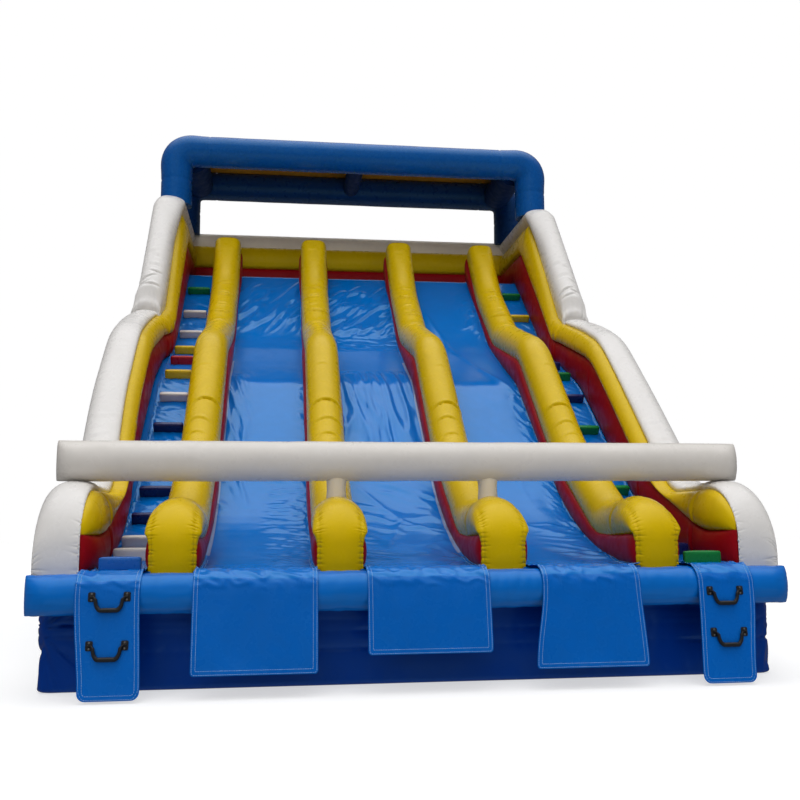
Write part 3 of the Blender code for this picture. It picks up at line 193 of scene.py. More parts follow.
# Handles, mooring rings and valve
HANDLE_X = 2.745
HANDLE_HEIGHTS = {"left": (0.862, 0.465), "right": (0.832, 0.465)}
HANDLE_SPAN = 0.290
HANDLE_DROP = 0.112
PAD_FACE = 0.0033
PIN_OUT = PAD_FACE + 0.0185
LUG_RADIUS = 0.011
RING_Y = 7.60
RING_RADIUS = 0.045
RING_DROP = 0.070
RING_THICKNESS = 0.0058
RING_STANDOFF = 0.0145
VALVE_Y = 8.70
FITTING_Z = 0.655

# Camera of the photograph
PHOTO_SIZE = 800
CAMERA_PLACE = (-1.3292, -8.5902, 1.5)
CAMERA_PITCH = 0.1275
CAMERA_YAW = 0.129
CAMERA_ROLL = -0.0059
FOCAL_PIXELS = 930.0

# Overcast sky: level at shares of the way from straight down to straight up
SKY_LEVELS = ((0.35, 0.12), (0.50, 0.10), (0.70, 0.13), (0.80, 0.16), (0.87, 0.42), (0.92, 1.15))
FILL_LIGHTS = (("front_key", 0.75, 55, -14), ("ground_bounce", 0.70, 125, 10), ("top_fill", 0.65, 4, 0))

SHIFT = Vector((0.0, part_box("float_base")[0].y - BASE_FRONT_Y, 0.0))


# Camera, light and floor

def linked(name, data):
    """New object of the scene that holds a mesh, a camera or a light."""
    item = bpy.data.objects.new(name, data)
    bpy.context.scene.collection.objects.link(item)
    return item


def make_camera():
    forward = Vector((math.sin(CAMERA_YAW) * math.cos(CAMERA_PITCH),
                      math.cos(CAMERA_YAW) * math.cos(CAMERA_PITCH), math.sin(CAMERA_PITCH)))
    level_right = Vector((math.cos(CAMERA_YAW), -math.sin(CAMERA_YAW), 0.0))
    level_up = level_right.cross(forward)
    right = level_right * math.cos(CAMERA_ROLL) + level_up * math.sin(CAMERA_ROLL)
    up = level_up * math.cos(CAMERA_ROLL) - level_right * math.sin(CAMERA_ROLL)
    matrix = Matrix((right, up, -forward)).transposed().to_4x4()
    matrix.translation = Vector(CAMERA_PLACE) + SHIFT
    data = bpy.data.cameras.new("photo_camera")
    data.sensor_width = 36.0
    data.lens = FOCAL_PIXELS / PHOTO_SIZE * data.sensor_width
    data.clip_end = 200.0
    camera = linked("photo_camera", data)
    camera.matrix_world = matrix
    bpy.context.scene.camera = camera


def stage_piece(name, paint_name, data, tone, roughness, glow):
    """Part of the stage, seen by the camera but giving the slide no light or shadow."""
    material = bpy.data.materials.new(paint_name)
    material.use_nodes = True
    shader = material.node_tree.nodes["Principled BSDF"]
    shader.inputs["Base Color"].default_value = (tone, tone, tone, 1)
    shader.inputs["Roughness"].default_value = roughness
    shader.inputs["Emission Color"].default_value = (1, 1, 1, 1)
    shader.inputs["Emission Strength"].default_value = glow
    data.materials.append(material)
    piece = linked(name, data)
    piece.visible_diffuse = piece.visible_glossy = piece.visible_shadow = False
    return piece


def make_stage():
    """Pale floor with a plain white dome round it."""
    data = bpy.data.meshes.new("floor")
    reach = 60.0
    data.from_pydata([(-reach, -reach, 0), (reach, -reach, 0), (reach, reach, 0), (-reach, reach, 0)],
                     [], [(0, 1, 2, 3)])
    floor = stage_piece("floor", "floor_paint", data, 0.50, 0.9, 0.58)
    work = bmesh.new()
    bmesh.ops.create_uvsphere(work, u_segments=48, v_segments=24, radius=56.0)
    data = bpy.data.meshes.new("backdrop")
    work.to_mesh(data)
    work.free()
    backdrop = stage_piece("backdrop", "backdrop_white", data, 0.0, 1.0, 1.0)
    backdrop.visible_transmission = False


def make_light():
    """Overcast dome, bright overhead and dark near the horizon, with three soft fill lights."""
    world = bpy.data.worlds.new("studio")
    world.use_nodes = True
    nodes = world.node_tree.nodes
    links = world.node_tree.links
    place = nodes.new("ShaderNodeTexCoord")
    split = nodes.new("ShaderNodeSeparateXYZ")
    half = nodes.new("ShaderNodeMath")
    half.operation = "MULTIPLY_ADD"
    half.inputs[1].default_value = 0.5
    half.inputs[2].default_value = 0.5
    ramp = nodes.new("ShaderNodeValToRGB")
    background = nodes["Background"]
    background.inputs["Strength"].default_value = 1.0
    links.new(place.outputs["Generated"], split.inputs[0])
    links.new(split.outputs["Z"], half.inputs[0])
    links.new(half.outputs[0], ramp.inputs["Fac"])
    links.new(ramp.outputs["Color"], background.inputs["Color"])
    steps = ramp.color_ramp.elements
    steps[0].position = 0.0
    steps[0].color = (0.22, 0.22, 0.22, 1)
    steps[1].position = 1.0
    steps[1].color = (1.80, 1.82, 1.85, 1)
    for position, level in SKY_LEVELS:
        steps.new(position).color = (level, level, level * 1.01, 1)
    bpy.context.scene.world = world
    for name, energy, tilt, turn in FILL_LIGHTS:
        data = bpy.data.lights.new(name, "SUN")
        data.energy = energy
        data.angle = math.radians(50)
        light = linked(name, data)
        light.rotation_euler = (math.radians(tilt), 0, math.radians(turn))
        light.visible_glossy = False
    bpy.context.scene.view_settings.view_transform = "Standard"


# Random fields and other fields of height

def hashed(index, seed):
    """Repeatable random numbers from -1 to 1 for whole numbers in an array."""
    value = np.asarray(index).astype(np.int64) * 374761393 + seed * 668265263
    value = (value ^ (value >> 13)) & 0x7FFFFFFF
    value = (value * 1274126177) & 0x7FFFFFFFFFFF
    value = (value ^ (value >> 16)) & 0xFFFF
    return value / 32767.5 - 1.0


def eased(share):
    share = np.clip(share, 0.0, 1.0)
    return share * share * (3 - 2 * share)


def bell(value, width):
    """1 at zero, falling smoothly to 0 on both sides."""
    return np.exp(-(value / width) ** 2)


def noise(x, y, seed):
    """Smooth random field of unit cells, from -1 to 1."""
    x = np.asarray(x, float)
    y = np.asarray(y, float)
    column = np.floor(x)
    row = np.floor(y)
    u = eased(x - column)
    v = eased(y - row)

    def corner(right, up):
        return hashed((column + right) * 7919 + (row + up) * 104729, seed)

    low = corner(0, 0) * (1 - u) + corner(1, 0) * u
    high = corner(0, 1) * (1 - u) + corner(1, 1) * u
    return low * (1 - v) + high * v


def ridged(x, y, seed, sharp, power=1.5):
    """Thin crests of a random field, from 0 to 1."""
    return np.clip(1 - sharp * np.abs(noise(x, y, seed)), 0, 1) ** power


def puckers(along, distance, spacing, reach, depth, seed, slant=0.5):
    """Short creases that run away from a seam, at uneven places along it."""
    cell = np.floor(along / spacing)
    height = np.zeros(np.broadcast(along, distance).shape)
    for step in (-1, 0, 1):
        index = cell + step
        centre = (index + 0.5 + 0.33 * hashed(index, seed)) * spacing
        centre = centre + slant * hashed(index, seed + 1) * distance
        length = reach * (0.70 + 0.30 * hashed(index, seed + 2))
        strength = 0.65 + 0.35 * hashed(index, seed + 3)
        width = spacing * 0.17
        height -= depth * strength * np.exp(-((along - centre) / width) ** 2 - (distance / length) ** 2)
    return height


def fold(along, across, place, middle, half, depth, bow=0.04, width=0.012):
    """One crease across a tube: a thin groove with a soft lip on its upper side."""
    share = (across - middle) / half
    window = np.clip(1 - share * share, 0, 1)
    offset = along - place - bow * share * share
    return depth * window * (0.6 * bell(offset - 2.6 * width, 2.2 * width) - bell(offset, width))


# Rows and grids of points

def points(*parts):
    """Array of points from coordinates that broadcast together."""
    return np.stack(np.broadcast_arrays(*parts), axis=-1)


def lengths_of(line):
    """Distance along a row of points."""
    steps = np.linalg.norm(np.diff(line, axis=0), axis=1)
    return np.concatenate([[0.0], np.cumsum(steps)])


def directions_of(line):
    tangent = np.gradient(line, axis=0)
    return tangent / np.linalg.norm(tangent, axis=1, keepdims=True)


def place_at(marks, along, line):
    """Places on a row of points, at distances or other marks that rise along it."""
    return points(*(np.interp(marks, along, line[:, axis]) for axis in range(line.shape[1])))


def place_on(values, along, y):
    """Distance along a row of points at which it first reaches a place y."""
    return float(np.interp(y, np.maximum.accumulate(values), along))


def around(count, start=0.0):
    return np.linspace(start, math.tau, count, endpoint=False)


def rounded_path(corners, start, end, steps_per_radian):
    """Side view points from start to end, each corner (y, z, radius) turned into an arc."""
    path = [start]
    line = [start] + [(y, z) for y, z, radius in corners] + [end]
    for index, (y, z, radius) in enumerate(corners):
        corner = Vector((y, z))
        before = (Vector(line[index]) - corner).normalized()
        after = (Vector(line[index + 2]) - corner).normalized()
        turn = math.pi - before.angle(after)
        reach = radius * math.tan(turn / 2)
        centre = corner + (before + after).normalized() * (radius / math.cos(turn / 2))
        first = corner + before * reach - centre
        last = corner + after * reach - centre
        count = max(4, math.ceil(turn * steps_per_radian))
        for step in range(count + 1):
            share = step / count
            arm = first * math.sin((1 - share) * turn) + last * math.sin(share * turn)
            path.append(tuple(centre + arm / math.sin(turn)))
    path.append(end)
    return path


BODY_FRONT_Y = BUMPER_Y + BUMPER_RADIUS + GAP
BED = rounded_path(BED_CORNERS, (BODY_FRONT_Y, DECK_Z), (REAR_Y, PLATFORM_Z), 24)


def height_at(path, y):
    """Heights of a side view path at the given places."""
    places, heights = zip(*path)
    return np.interp(y, places, heights)


def smooth_height(path, y, reach):
    shares = np.linspace(-1.0, 1.0, 9)
    return sum(height_at(path, y + share * reach) for share in shares) / len(shares)


def smoothed(values, reach):
    """Moving average down the rows of an array, which keeps its ends."""
    padded = np.concatenate([np.repeat(values[:1], reach, axis=0), values,
                             np.repeat(values[-1:], reach, axis=0)])
    total = np.cumsum(np.concatenate([np.zeros_like(padded[:1]), padded]), axis=0)
    return (total[2 * reach + 1:] - total[:-2 * reach - 1]) / (2 * reach + 1)


def normals_of(grid, closed):
    """Unit normals of a grid, pointing away from the middle of each row."""
    if closed:
        across = np.roll(grid, -1, axis=1) - np.roll(grid, 1, axis=1)
    else:
        across = np.gradient(grid, axis=1)
    normal = np.cross(np.gradient(grid, axis=0), across)
    normal = normal / np.maximum(np.linalg.norm(normal, axis=2, keepdims=True), 1e-12)
    outward = grid - grid.mean(axis=1, keepdims=True)
    return normal if (normal * outward).sum() > 0 else -normal


def swollen(grid, height):
    return grid + normals_of(grid, True) * height[..., None]


def lengths_along(grid, column):
    """Distance along one column, and distances across each row measured from that column."""
    gaps = np.linalg.norm(np.diff(grid, axis=1), axis=2)
    across = np.concatenate([np.zeros((len(grid), 1)), np.cumsum(gaps, axis=1)], axis=1)
    along = np.repeat(lengths_of(grid[:, column])[:, None], grid.shape[1], axis=1)
    return along, across - across[:, column:column + 1]


def nearer_edge(across):
    return np.minimum(across - across[:, :1], across[:, -1:] - across)


def backed(skin, x, y):
    """Skin of a chamber with the two edges of its flat back, which stands at x and y."""
    low, high = (points(x, y, skin[:, end, 2])[:, None] for end in (0, -1))
    return np.concatenate([low, skin, high], axis=1)


# Meshes

def face_outward(piece):
    work = bmesh.new()
    work.from_mesh(piece.data)
    bmesh.ops.recalc_face_normals(work, faces=work.faces)
    work.to_mesh(piece.data)
    work.free()


def new_object(name, corners, faces, material):
    data = bpy.data.meshes.new(name)
    moved = np.asarray(corners, float).reshape(-1, 3) + np.array(SHIFT)
    data.from_pydata(moved.tolist(), [], faces)
    data.update()
    data.shade_smooth()
    data.materials.append(material)
    piece = linked(name, data)
    face_outward(piece)
    return piece


def grid_faces(rows, columns, closed, base=0):
    faces = []
    for row in range(rows - 1):
        for column in range(columns if closed else columns - 1):
            beside = (column + 1) % columns
            low = base + row * columns
            high = low + columns
            faces.append((low + column, low + beside, high + beside, high + column))
    return faces


def tube_piece(name, grid, material, sharp):
    """Closed skin over rows of points, with a fan of faces at each end."""
    rows, columns = grid.shape[:2]
    corners = grid.reshape(-1, 3).tolist()
    faces = grid_faces(rows, columns, True)
    for row in (0, rows - 1):
        corners.append(grid[row].mean(axis=0).tolist())
        for column in range(columns):
            beside = (column + 1) % columns
            faces.append((row * columns + column, row * columns + beside, len(corners) - 1))
    piece = new_object(name, corners, faces, material)
    piece.data.set_sharp_from_angle(angle=math.radians(sharp))
    return piece


def sheet_piece(name, grid, thickness, material):
    """Thin closed sheet: a grid, its copy below it and a rim between them."""
    normal = np.cross(np.gradient(grid, axis=0), np.gradient(grid, axis=1))
    normal /= np.maximum(np.linalg.norm(normal, axis=2, keepdims=True), 1e-12)
    rows, columns = grid.shape[:2]
    count = rows * columns
    corners = np.concatenate([(grid + normal * thickness / 2).reshape(-1, 3),
                              (grid - normal * thickness / 2).reshape(-1, 3)])
    faces = grid_faces(rows, columns, False)
    faces += [tuple(reversed(face)) for face in grid_faces(rows, columns, False, count)]
    index = np.arange(count).reshape(rows, columns)
    rim = [*index[0], *index[1:, -1], *index[-1, -2::-1], *index[-2:0:-1, 0]]
    rim = [int(corner) for corner in rim]
    for first, second in zip(rim, rim[1:] + rim[:1]):
        faces.append((first, second, second + count, first + count))
    return new_object(name, corners, faces, material)


# Materials

def srgb(red, green, blue):
    """Linear colour of display values from 0 to 255."""
    shares = (red / 255, green / 255, blue / 255)
    return tuple(share / 12.92 if share <= 0.04045 else ((share + 0.055) / 1.055) ** 2.4
                 for share in shares)


def scaled(colour, factor):
    return (*[min(1.0, value * factor) for value in colour], 1)


class Recipe:
    """Node tree of a material, with short ways to add nodes to it."""

    def __init__(self, name):
        self.material = bpy.data.materials.new(name)
        self.material.use_nodes = True
        self.tree = self.material.node_tree
        self.shader = self.tree.nodes["Principled BSDF"]
        self.place = self.tree.nodes.new("ShaderNodeTexCoord").outputs["Object"]

    def feed(self, node, values):
        """Set a node's inputs to constants, or join them to other nodes' outputs."""
        for key, value in values.items():
            if isinstance(value, bpy.types.NodeSocket):
                self.tree.links.new(value, node.inputs[key])
            else:
                node.inputs[key].default_value = value
        return node

    def add(self, kind, values):
        return self.feed(self.tree.nodes.new(kind), values)

    def texture(self, scale, detail, distortion=0.0):
        node = self.add("ShaderNodeTexNoise", {"Vector": self.place, "Scale": scale, "Detail": detail,
                                               "Distortion": distortion})
        return node.outputs["Fac"]

    def ranged(self, source, low, high, start=0.3, end=0.7):
        node = self.add("ShaderNodeMapRange", {"Value": source, "From Min": start, "From Max": end,
                                               "To Min": low, "To Max": high})
        return node.outputs["Result"]

    def mixed(self, first, second, share, blend="MIX"):
        node = self.tree.nodes.new("ShaderNodeMix")
        node.data_type = "RGBA"
        node.blend_type = blend
        return self.feed(node, {0: share, 6: first, 7: second}).outputs[2]

    def bump(self, height, strength, distance, under=None):
        values = {"Height": height, "Strength": strength, "Distance": distance}
        if under:
            values["Normal"] = under
        return self.add("ShaderNodeBump", values).outputs["Normal"]


def make_pvc(name, colour, roughness=0.24, ior=1.50, crinkle=0.05, mottle=0.05, tint=(1, 1, 1)):
    """Welded PVC sheet: mottled tone, uneven gloss, fine crinkles and a faint woven core."""
    recipe = Recipe(name)
    clouds = recipe.texture(1.3, 5.0)
    grime = recipe.texture(9.0, 6.0)
    tone = recipe.mixed(scaled(colour, 1 - mottle), scaled(colour, 1 + mottle), recipe.ranged(clouds, 0.0, 1.0))
    worn = recipe.mixed(tone, (0.90, 0.90, 0.89, 1), recipe.ranged(grime, 0.0, 0.5), "MULTIPLY")
    creased = recipe.bump(recipe.texture(7.0, 3.0, 0.8), crinkle, 0.010)
    recipe.feed(recipe.shader, {
        "IOR": ior, "Specular Tint": (*tint, 1), "Base Color": worn,
        "Roughness": recipe.ranged(grime, roughness * 0.8, roughness * 1.3),
        "Normal": recipe.bump(recipe.texture(260.0, 1.0), 0.12, 0.0006, creased)})
    return recipe.material


def make_plain(name, colour, roughness, metallic=0.0, grain=60.0, depth=0.0004):
    """Rubber, steel or thread with a grain in its tone, gloss and surface."""
    recipe = Recipe(name)
    fleck = recipe.texture(grain, 4.0)
    recipe.feed(recipe.shader, {
        "Metallic": metallic, "Base Color": recipe.mixed(scaled(colour, 0.8), scaled(colour, 1.2), fleck),
        "Roughness": recipe.ranged(fleck, roughness * 0.75, roughness * 1.25, 0.0, 1.0),
        "Normal": recipe.bump(fleck, 0.3, depth)})
    return recipe.material


SKY = (0.40, 0.86, 1.0)
SUNLIT = (1.0, 0.82, 0.26)
PAINT = {
    "lane": make_pvc("lane_blue", srgb(0, 113, 205), 0.16, 1.60, 0.10, tint=(0.45, 0.88, 1.0)),
    "tape": make_pvc("edge_tape", srgb(138, 158, 204), 0.20, 1.50),
    "flap": make_pvc("flap_blue", srgb(2, 100, 196), 0.26, 1.45, tint=SKY),
    "bumper": make_pvc("bumper_blue", srgb(6, 108, 202), 0.20, tint=SKY),
    "arch": make_pvc("arch_blue", srgb(8, 86, 166), 0.26, tint=SKY),
    # Rear arch: the arch's blue darkened to navy, painted shade under the canopy.
    "arch_painted_shade": make_pvc("arch_navy_painted_shade", srgb(14, 50, 104), 0.30, 1.45, tint=SKY),
    # Roof tubes: a dark rough navy, painted shade that makes them read as shade under the canopy.
    "shade": make_pvc("roof_navy_painted_shade", srgb(10, 40, 92), 0.60, 1.30, tint=SKY),
    "deep": make_pvc("base_navy", srgb(2, 50, 138), 0.20, tint=SKY),
    "yellow": make_pvc("chamber_yellow", srgb(218, 184, 6), 0.28, 1.44, mottle=0.03, tint=SUNLIT),
    "red": make_pvc("chamber_red", srgb(160, 6, 20), 0.46, 1.40, mottle=0.03, tint=(1.0, 0.50, 0.50)),
    "white": make_pvc("chamber_white", srgb(234, 231, 228), 0.28, 1.48, mottle=0.02),
    "cross": make_pvc("cross_white", srgb(224, 219, 213), 0.30, 1.48, mottle=0.02),
    # Rear white: the white made lighter and warmer, painted light standing for light bounced onto the rear wall and the
    # posts, which are in shade.
    "rear_white_painted_light": make_pvc("rear_white_painted_light", srgb(253, 242, 222), 0.34, 1.45, mottle=0.02),
    "orange": make_pvc("canopy_orange", srgb(230, 160, 50), 0.35, 1.45),
    "step_white": make_pvc("step_white", srgb(228, 224, 220), 0.30, 1.48, mottle=0.03),
    "step_yellow": make_pvc("step_yellow", srgb(226, 192, 6), 0.28, 1.48, mottle=0.05),
    "step_red": make_pvc("step_red", srgb(176, 14, 28), 0.28, 1.48),
    "step_green": make_pvc("step_green", srgb(14, 128, 58), 0.28, 1.48),
    "step_navy": make_pvc("step_navy", srgb(26, 36, 96), 0.28, 1.48),
    "step_blue": make_pvc("step_blue", srgb(22, 98, 180), 0.28, 1.48),
    "rubber": make_plain("black_rubber", (0.012, 0.012, 0.013), 0.42, 0.0, 90.0),
    "steel": make_plain("polished_steel", (0.62, 0.62, 0.63), 0.24, 1.0, 40.0, 0.0001),
    "thread": make_plain("pale_thread", srgb(160, 196, 236), 0.60, 0.0, 200.0),
}


def settle(piece, nodes=(), body="slide"):
    """Ride on a body and stand for CAD nodes, whose parts it hides."""
    if body:
        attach(piece, body)
    if nodes:
        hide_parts(*nodes)
    return piece


# Dividers

def foot_of(angle, start=DIVIDER_START_Y):
    """Seam place that belongs to an angle round a nose."""
    turn = (NOSE_STEPS + 1) * angle / (math.pi / 2) - 1
    share = np.clip(turn / NOSE_STEPS, 0.0, 1.0) ** NOSE_CROWDING
    return start + (NOSE_LENGTH - start) * share


def nose_rows(rise_length, top, steps):
    """Angles round a nose from level to upright and the points of its curve."""
    angles = np.linspace(0.0, math.pi / 2, steps)
    return angles, points(rise_length * (1 - np.cos(angles)),
                          NOSE_START_Z + (top - NOSE_START_Z) * np.sin(angles))


def divider_rows():
    """Seam point, ridge point and half width of each row of a yellow chamber."""
    rise = np.linspace(DECK_Z - 0.035, NOSE_START_Z, 44)[:-1]
    angles, curve = nose_rows(NOSE_LENGTH, NOSE_TOP_Z, 150)
    foot = foot_of(angles, NOSE_SEAM_Y)
    first = math.pi / 2 / (NOSE_STEPS + 1)
    seam_z = smooth_height(DIVIDER_SEAM, foot, 0.16)
    joined = NOSE_START_Z + (seam_z - NOSE_START_Z) * eased(angles / first)
    seam_z = np.where(angles < first, joined, seam_z)
    run = np.linspace(NOSE_LENGTH, DIVIDER_END_Y, 560)[1:]
    run_seam = points(run, smooth_height(DIVIDER_SEAM, run, 0.16))
    tangent = directions_of(run_seam)
    fade = eased((0.80 - run) / 0.26)
    height = DIVIDER_TOP_HEIGHT + (NOSE_TOP_Z - DIVIDER_SEAM[1][1] - DIVIDER_TOP_HEIGHT) * fade
    run_ridge = run_seam + points(-tangent[:, 1], tangent[:, 0]) * height[:, None]
    seam = np.concatenate([points(NOSE_SEAM_Y, rise), points(foot, seam_z), run_seam])
    ridge = np.concatenate([points(0.0, rise), curve, run_ridge])
    half = np.concatenate([np.full_like(rise, DIVIDER_FRONT_HALF),
                           DIVIDER_FRONT_HALF + (NOSE_HALF_WIDTH - DIVIDER_FRONT_HALF) * eased(angles / 0.45),
                           DIVIDER_RUN_HALF + (NOSE_HALF_WIDTH - DIVIDER_RUN_HALF) * eased((0.78 - run) / 0.22)])
    return seam, ridge, smoothed(half, 9)


# Folds of a divider: y, half width, depth and bow
DIVIDER_FOLDS = (
    (2.02, 0.16, 0.012, -0.06), (2.55, 0.20, 0.014, -0.08), (2.76, 0.26, 0.018, -0.11),
    (3.04, 0.32, 0.026, -0.13), (3.60, 0.12, 0.008, -0.05), (4.30, 0.12, 0.007, 0.04),
    (5.10, 0.20, 0.008, 0.07), (5.52, 0.30, 0.018, 0.07), (5.66, 0.16, 0.012, 0.05),
    (5.98, 0.22, 0.020, 0.08), (6.10, 0.16, 0.013, 0.05), (6.20, 0.12, 0.010, 0.04),
    (6.42, 0.20, 0.018, 0.07), (6.52, 0.15, 0.012, 0.05), (6.72, 0.18, 0.014, 0.06),
    (7.35, 0.12, 0.007, 0.04))


def make_divider_top(number, x):
    seam, ridge, half = divider_rows()
    columns = 52
    half = half[:, None]
    undercut = np.arccos(DIVIDER_SEAM_HALF / half)
    angle = -undercut + (math.pi + 2 * undercut) * np.linspace(0.0, 1.0, columns)[None, :]
    upper = np.sin(angle) > 0
    power = np.where(upper, 1 - 0.42 * eased((ridge[:, :1] - 7.05) / 0.6), 1.0)
    cosine, sine = (np.sign(part) * np.abs(part) ** power for part in (np.cos(angle), np.sin(angle)))
    lift = (np.sin(undercut) + sine) / (1 + np.sin(undercut))
    place = seam[:, None, :] + (ridge - seam)[:, None, :] * lift[..., None]
    grid = points(x + half * cosine, place[..., 0], place[..., 1])
    rows = len(grid)
    closing = np.sqrt(1 - np.clip((np.arange(rows) - rows + 4) / 6, 0, 0.55) ** 2)
    middle = (grid[:, :1] + grid[:, -1:]) / 2
    grid = middle + (grid - middle) * closing[:, None, None]
    along, across = lengths_along(grid, columns // 2)
    reach = nearer_edge(across)
    nose = eased((1.15 - along) / 0.35)
    seed = 40 * number
    height = np.zeros_like(along)
    for flank in (0, 1):
        loose = puckers(along, reach, 0.085, 0.050, 0.0020, seed + 5 * flank, 0.6)
        tight = puckers(along, reach, 0.040, 0.040, 0.0040, seed + 20 + 5 * flank, 0.3)
        height = np.where((across > 0) == flank, loose * (1 - nose) + tight * nose, height)
    strip = np.abs(grid[..., 0] - x) - NOSE_PANEL_HALF
    panel = eased((0.95 - along) / 0.15) * upper
    gathers = puckers(along, np.abs(strip), 0.050, 0.052, 0.0115, seed + 31, 0.2)
    height += panel * (gathers - 0.008 * bell(strip, 0.009))
    line = grid[:, columns // 2, 1]
    random = np.random.default_rng(seed)
    for y, half_width, depth, bow in DIVIDER_FOLDS:
        centre = place_on(line, along[:, 0], y + random.uniform(-0.05, 0.05))
        height += fold(along, across, centre, random.uniform(-0.07, 0.07),
                       half_width * random.uniform(0.8, 1.1), depth * random.uniform(0.8, 1.1), bow, 0.013)
    height += fold(along, across, place_on(line, along[:, 0], NOSE_CREASE_Y), 0.0, 0.50, 0.024, 0.0, 0.016)
    height += 0.0010 * noise(along / 0.40, across / 0.25, seed + 3)
    height *= closing[:, None]
    piece = tube_piece(f"divider_yellow_{number}", swollen(grid, height), PAINT["yellow"], 60)
    return settle(piece, [f"divider_top_{number}"])


def make_divider_side(number, x):
    y = np.concatenate([NOSE_SEAM_Y - 0.03 + 0.14 * np.linspace(0, 1, 12)[:-1] ** 2,
                        np.linspace(NOSE_SEAM_Y + 0.11, DIVIDER_END_Y, 360)])
    low = height_at(BED, y) + GAP
    high = smooth_height(DIVIDER_SEAM, y, 0.16)
    share = np.linspace(0.0, 1.0, 13)[None, :]
    bulge = DIVIDER_RED_BULGE * np.minimum(1.0, (high - low) / 0.30)
    bulge = bulge * np.sqrt(1 - np.clip(1 - (y - y[0]) / 0.14, 0, 0.97) ** 2)
    swell = bulge[:, None] * np.sqrt(4 * share * (1 - share))
    tall = low[:, None] + (high - low)[:, None] * share
    along, across = lengths_along(points(swell, y[:, None], tall), 0)
    edge = nearer_edge(across)
    halves = []
    for sign in (1, -1):
        crease = puckers(along, edge, 0.095, 0.05, 0.005, 70 + number * 3 + sign, 0.8) * np.clip(edge / 0.015, 0, 1)
        offset = DIVIDER_SEAM_HALF + swell + crease + 0.002 * noise(along / 0.40, across / 0.20, number)
        halves.append(points(x + sign * offset, y[:, None], tall))
    grid = np.concatenate([halves[0], halves[1][:, ::-1]], axis=1)
    piece = tube_piece(f"divider_red_{number}", grid, PAINT["red"], 60)
    return settle(piece, [f"divider_side_{number}"])


# Outer walls and rear wall

def wall_spread(sign, y):
    """Distance by which a wall stands further out than at its ends."""
    return WALL_SPREAD[sign] * eased((y - 1.3) / 1.8) * eased((5.65 - y) / 0.5)


def wall_height(path, y):
    return np.where(y < 5.0, smooth_height(path, y, 0.20), height_at(path, y))


def wall_sections():
    """Foot, white seam and ridge of each row of a white chamber."""
    low = float(height_at(BED, DIVIDER_START_Y)) + GAP
    rise = np.linspace(low - 0.035, NOSE_START_Z, 44)[:-1]
    front = points(0.0, rise)
    angles, ridge_curve = nose_rows(WALL_NOSE_LENGTH, WALL_RIDGE[0][1], 160)
    seam_curve = nose_rows(WALL_NOSE_LENGTH, WALL_WHITE_SEAM[0][1], 160)[1]
    run = np.unique(np.concatenate([np.linspace(NOSE_LENGTH, REAR_Y, 360)[1:], np.linspace(5.30, 5.48, 50),
                                    np.linspace(5.48, 5.75, 24)]))
    lean = np.clip(1 - (run - NOSE_LENGTH) / 0.8, 0, 1) * (WALL_NOSE_LENGTH - NOSE_LENGTH)
    run_seam, run_ridge = (points(run + lean, wall_height(path, run + lean))
                           for path in (WALL_WHITE_SEAM, WALL_RIDGE))
    foot_y = np.concatenate([np.full_like(rise, DIVIDER_START_Y), foot_of(angles), run])
    foot = points(foot_y, height_at(BED, foot_y) + GAP)
    seam = np.concatenate([front, seam_curve, run_seam])
    ridge = np.concatenate([front, ridge_curve, run_ridge])
    return foot, seam, smoothed(ridge, 1)


# Folds of a white wall: y, half width, depth and bow
WALL_FOLDS = (
    (1.30, 0.16, 0.008, 0.04), (2.05, 0.22, 0.012, 0.06), (2.30, 0.20, 0.010, 0.07),
    (3.50, 0.14, 0.006, 0.03), (4.15, 0.18, 0.009, 0.04), (4.75, 0.12, 0.006, 0.03),
    (5.47, 0.16, 0.018, 0.05), (5.52, 0.12, 0.016, 0.04), (5.60, 0.20, 0.020, 0.06),
    (5.70, 0.12, 0.015, 0.05), (5.80, 0.16, 0.018, 0.06), (5.92, 0.18, 0.018, 0.06),
    (6.02, 0.14, 0.014, 0.05), (6.22, 0.12, 0.012, 0.04), (6.50, 0.12, 0.008, 0.04),
    (6.80, 0.12, 0.006, 0.03))


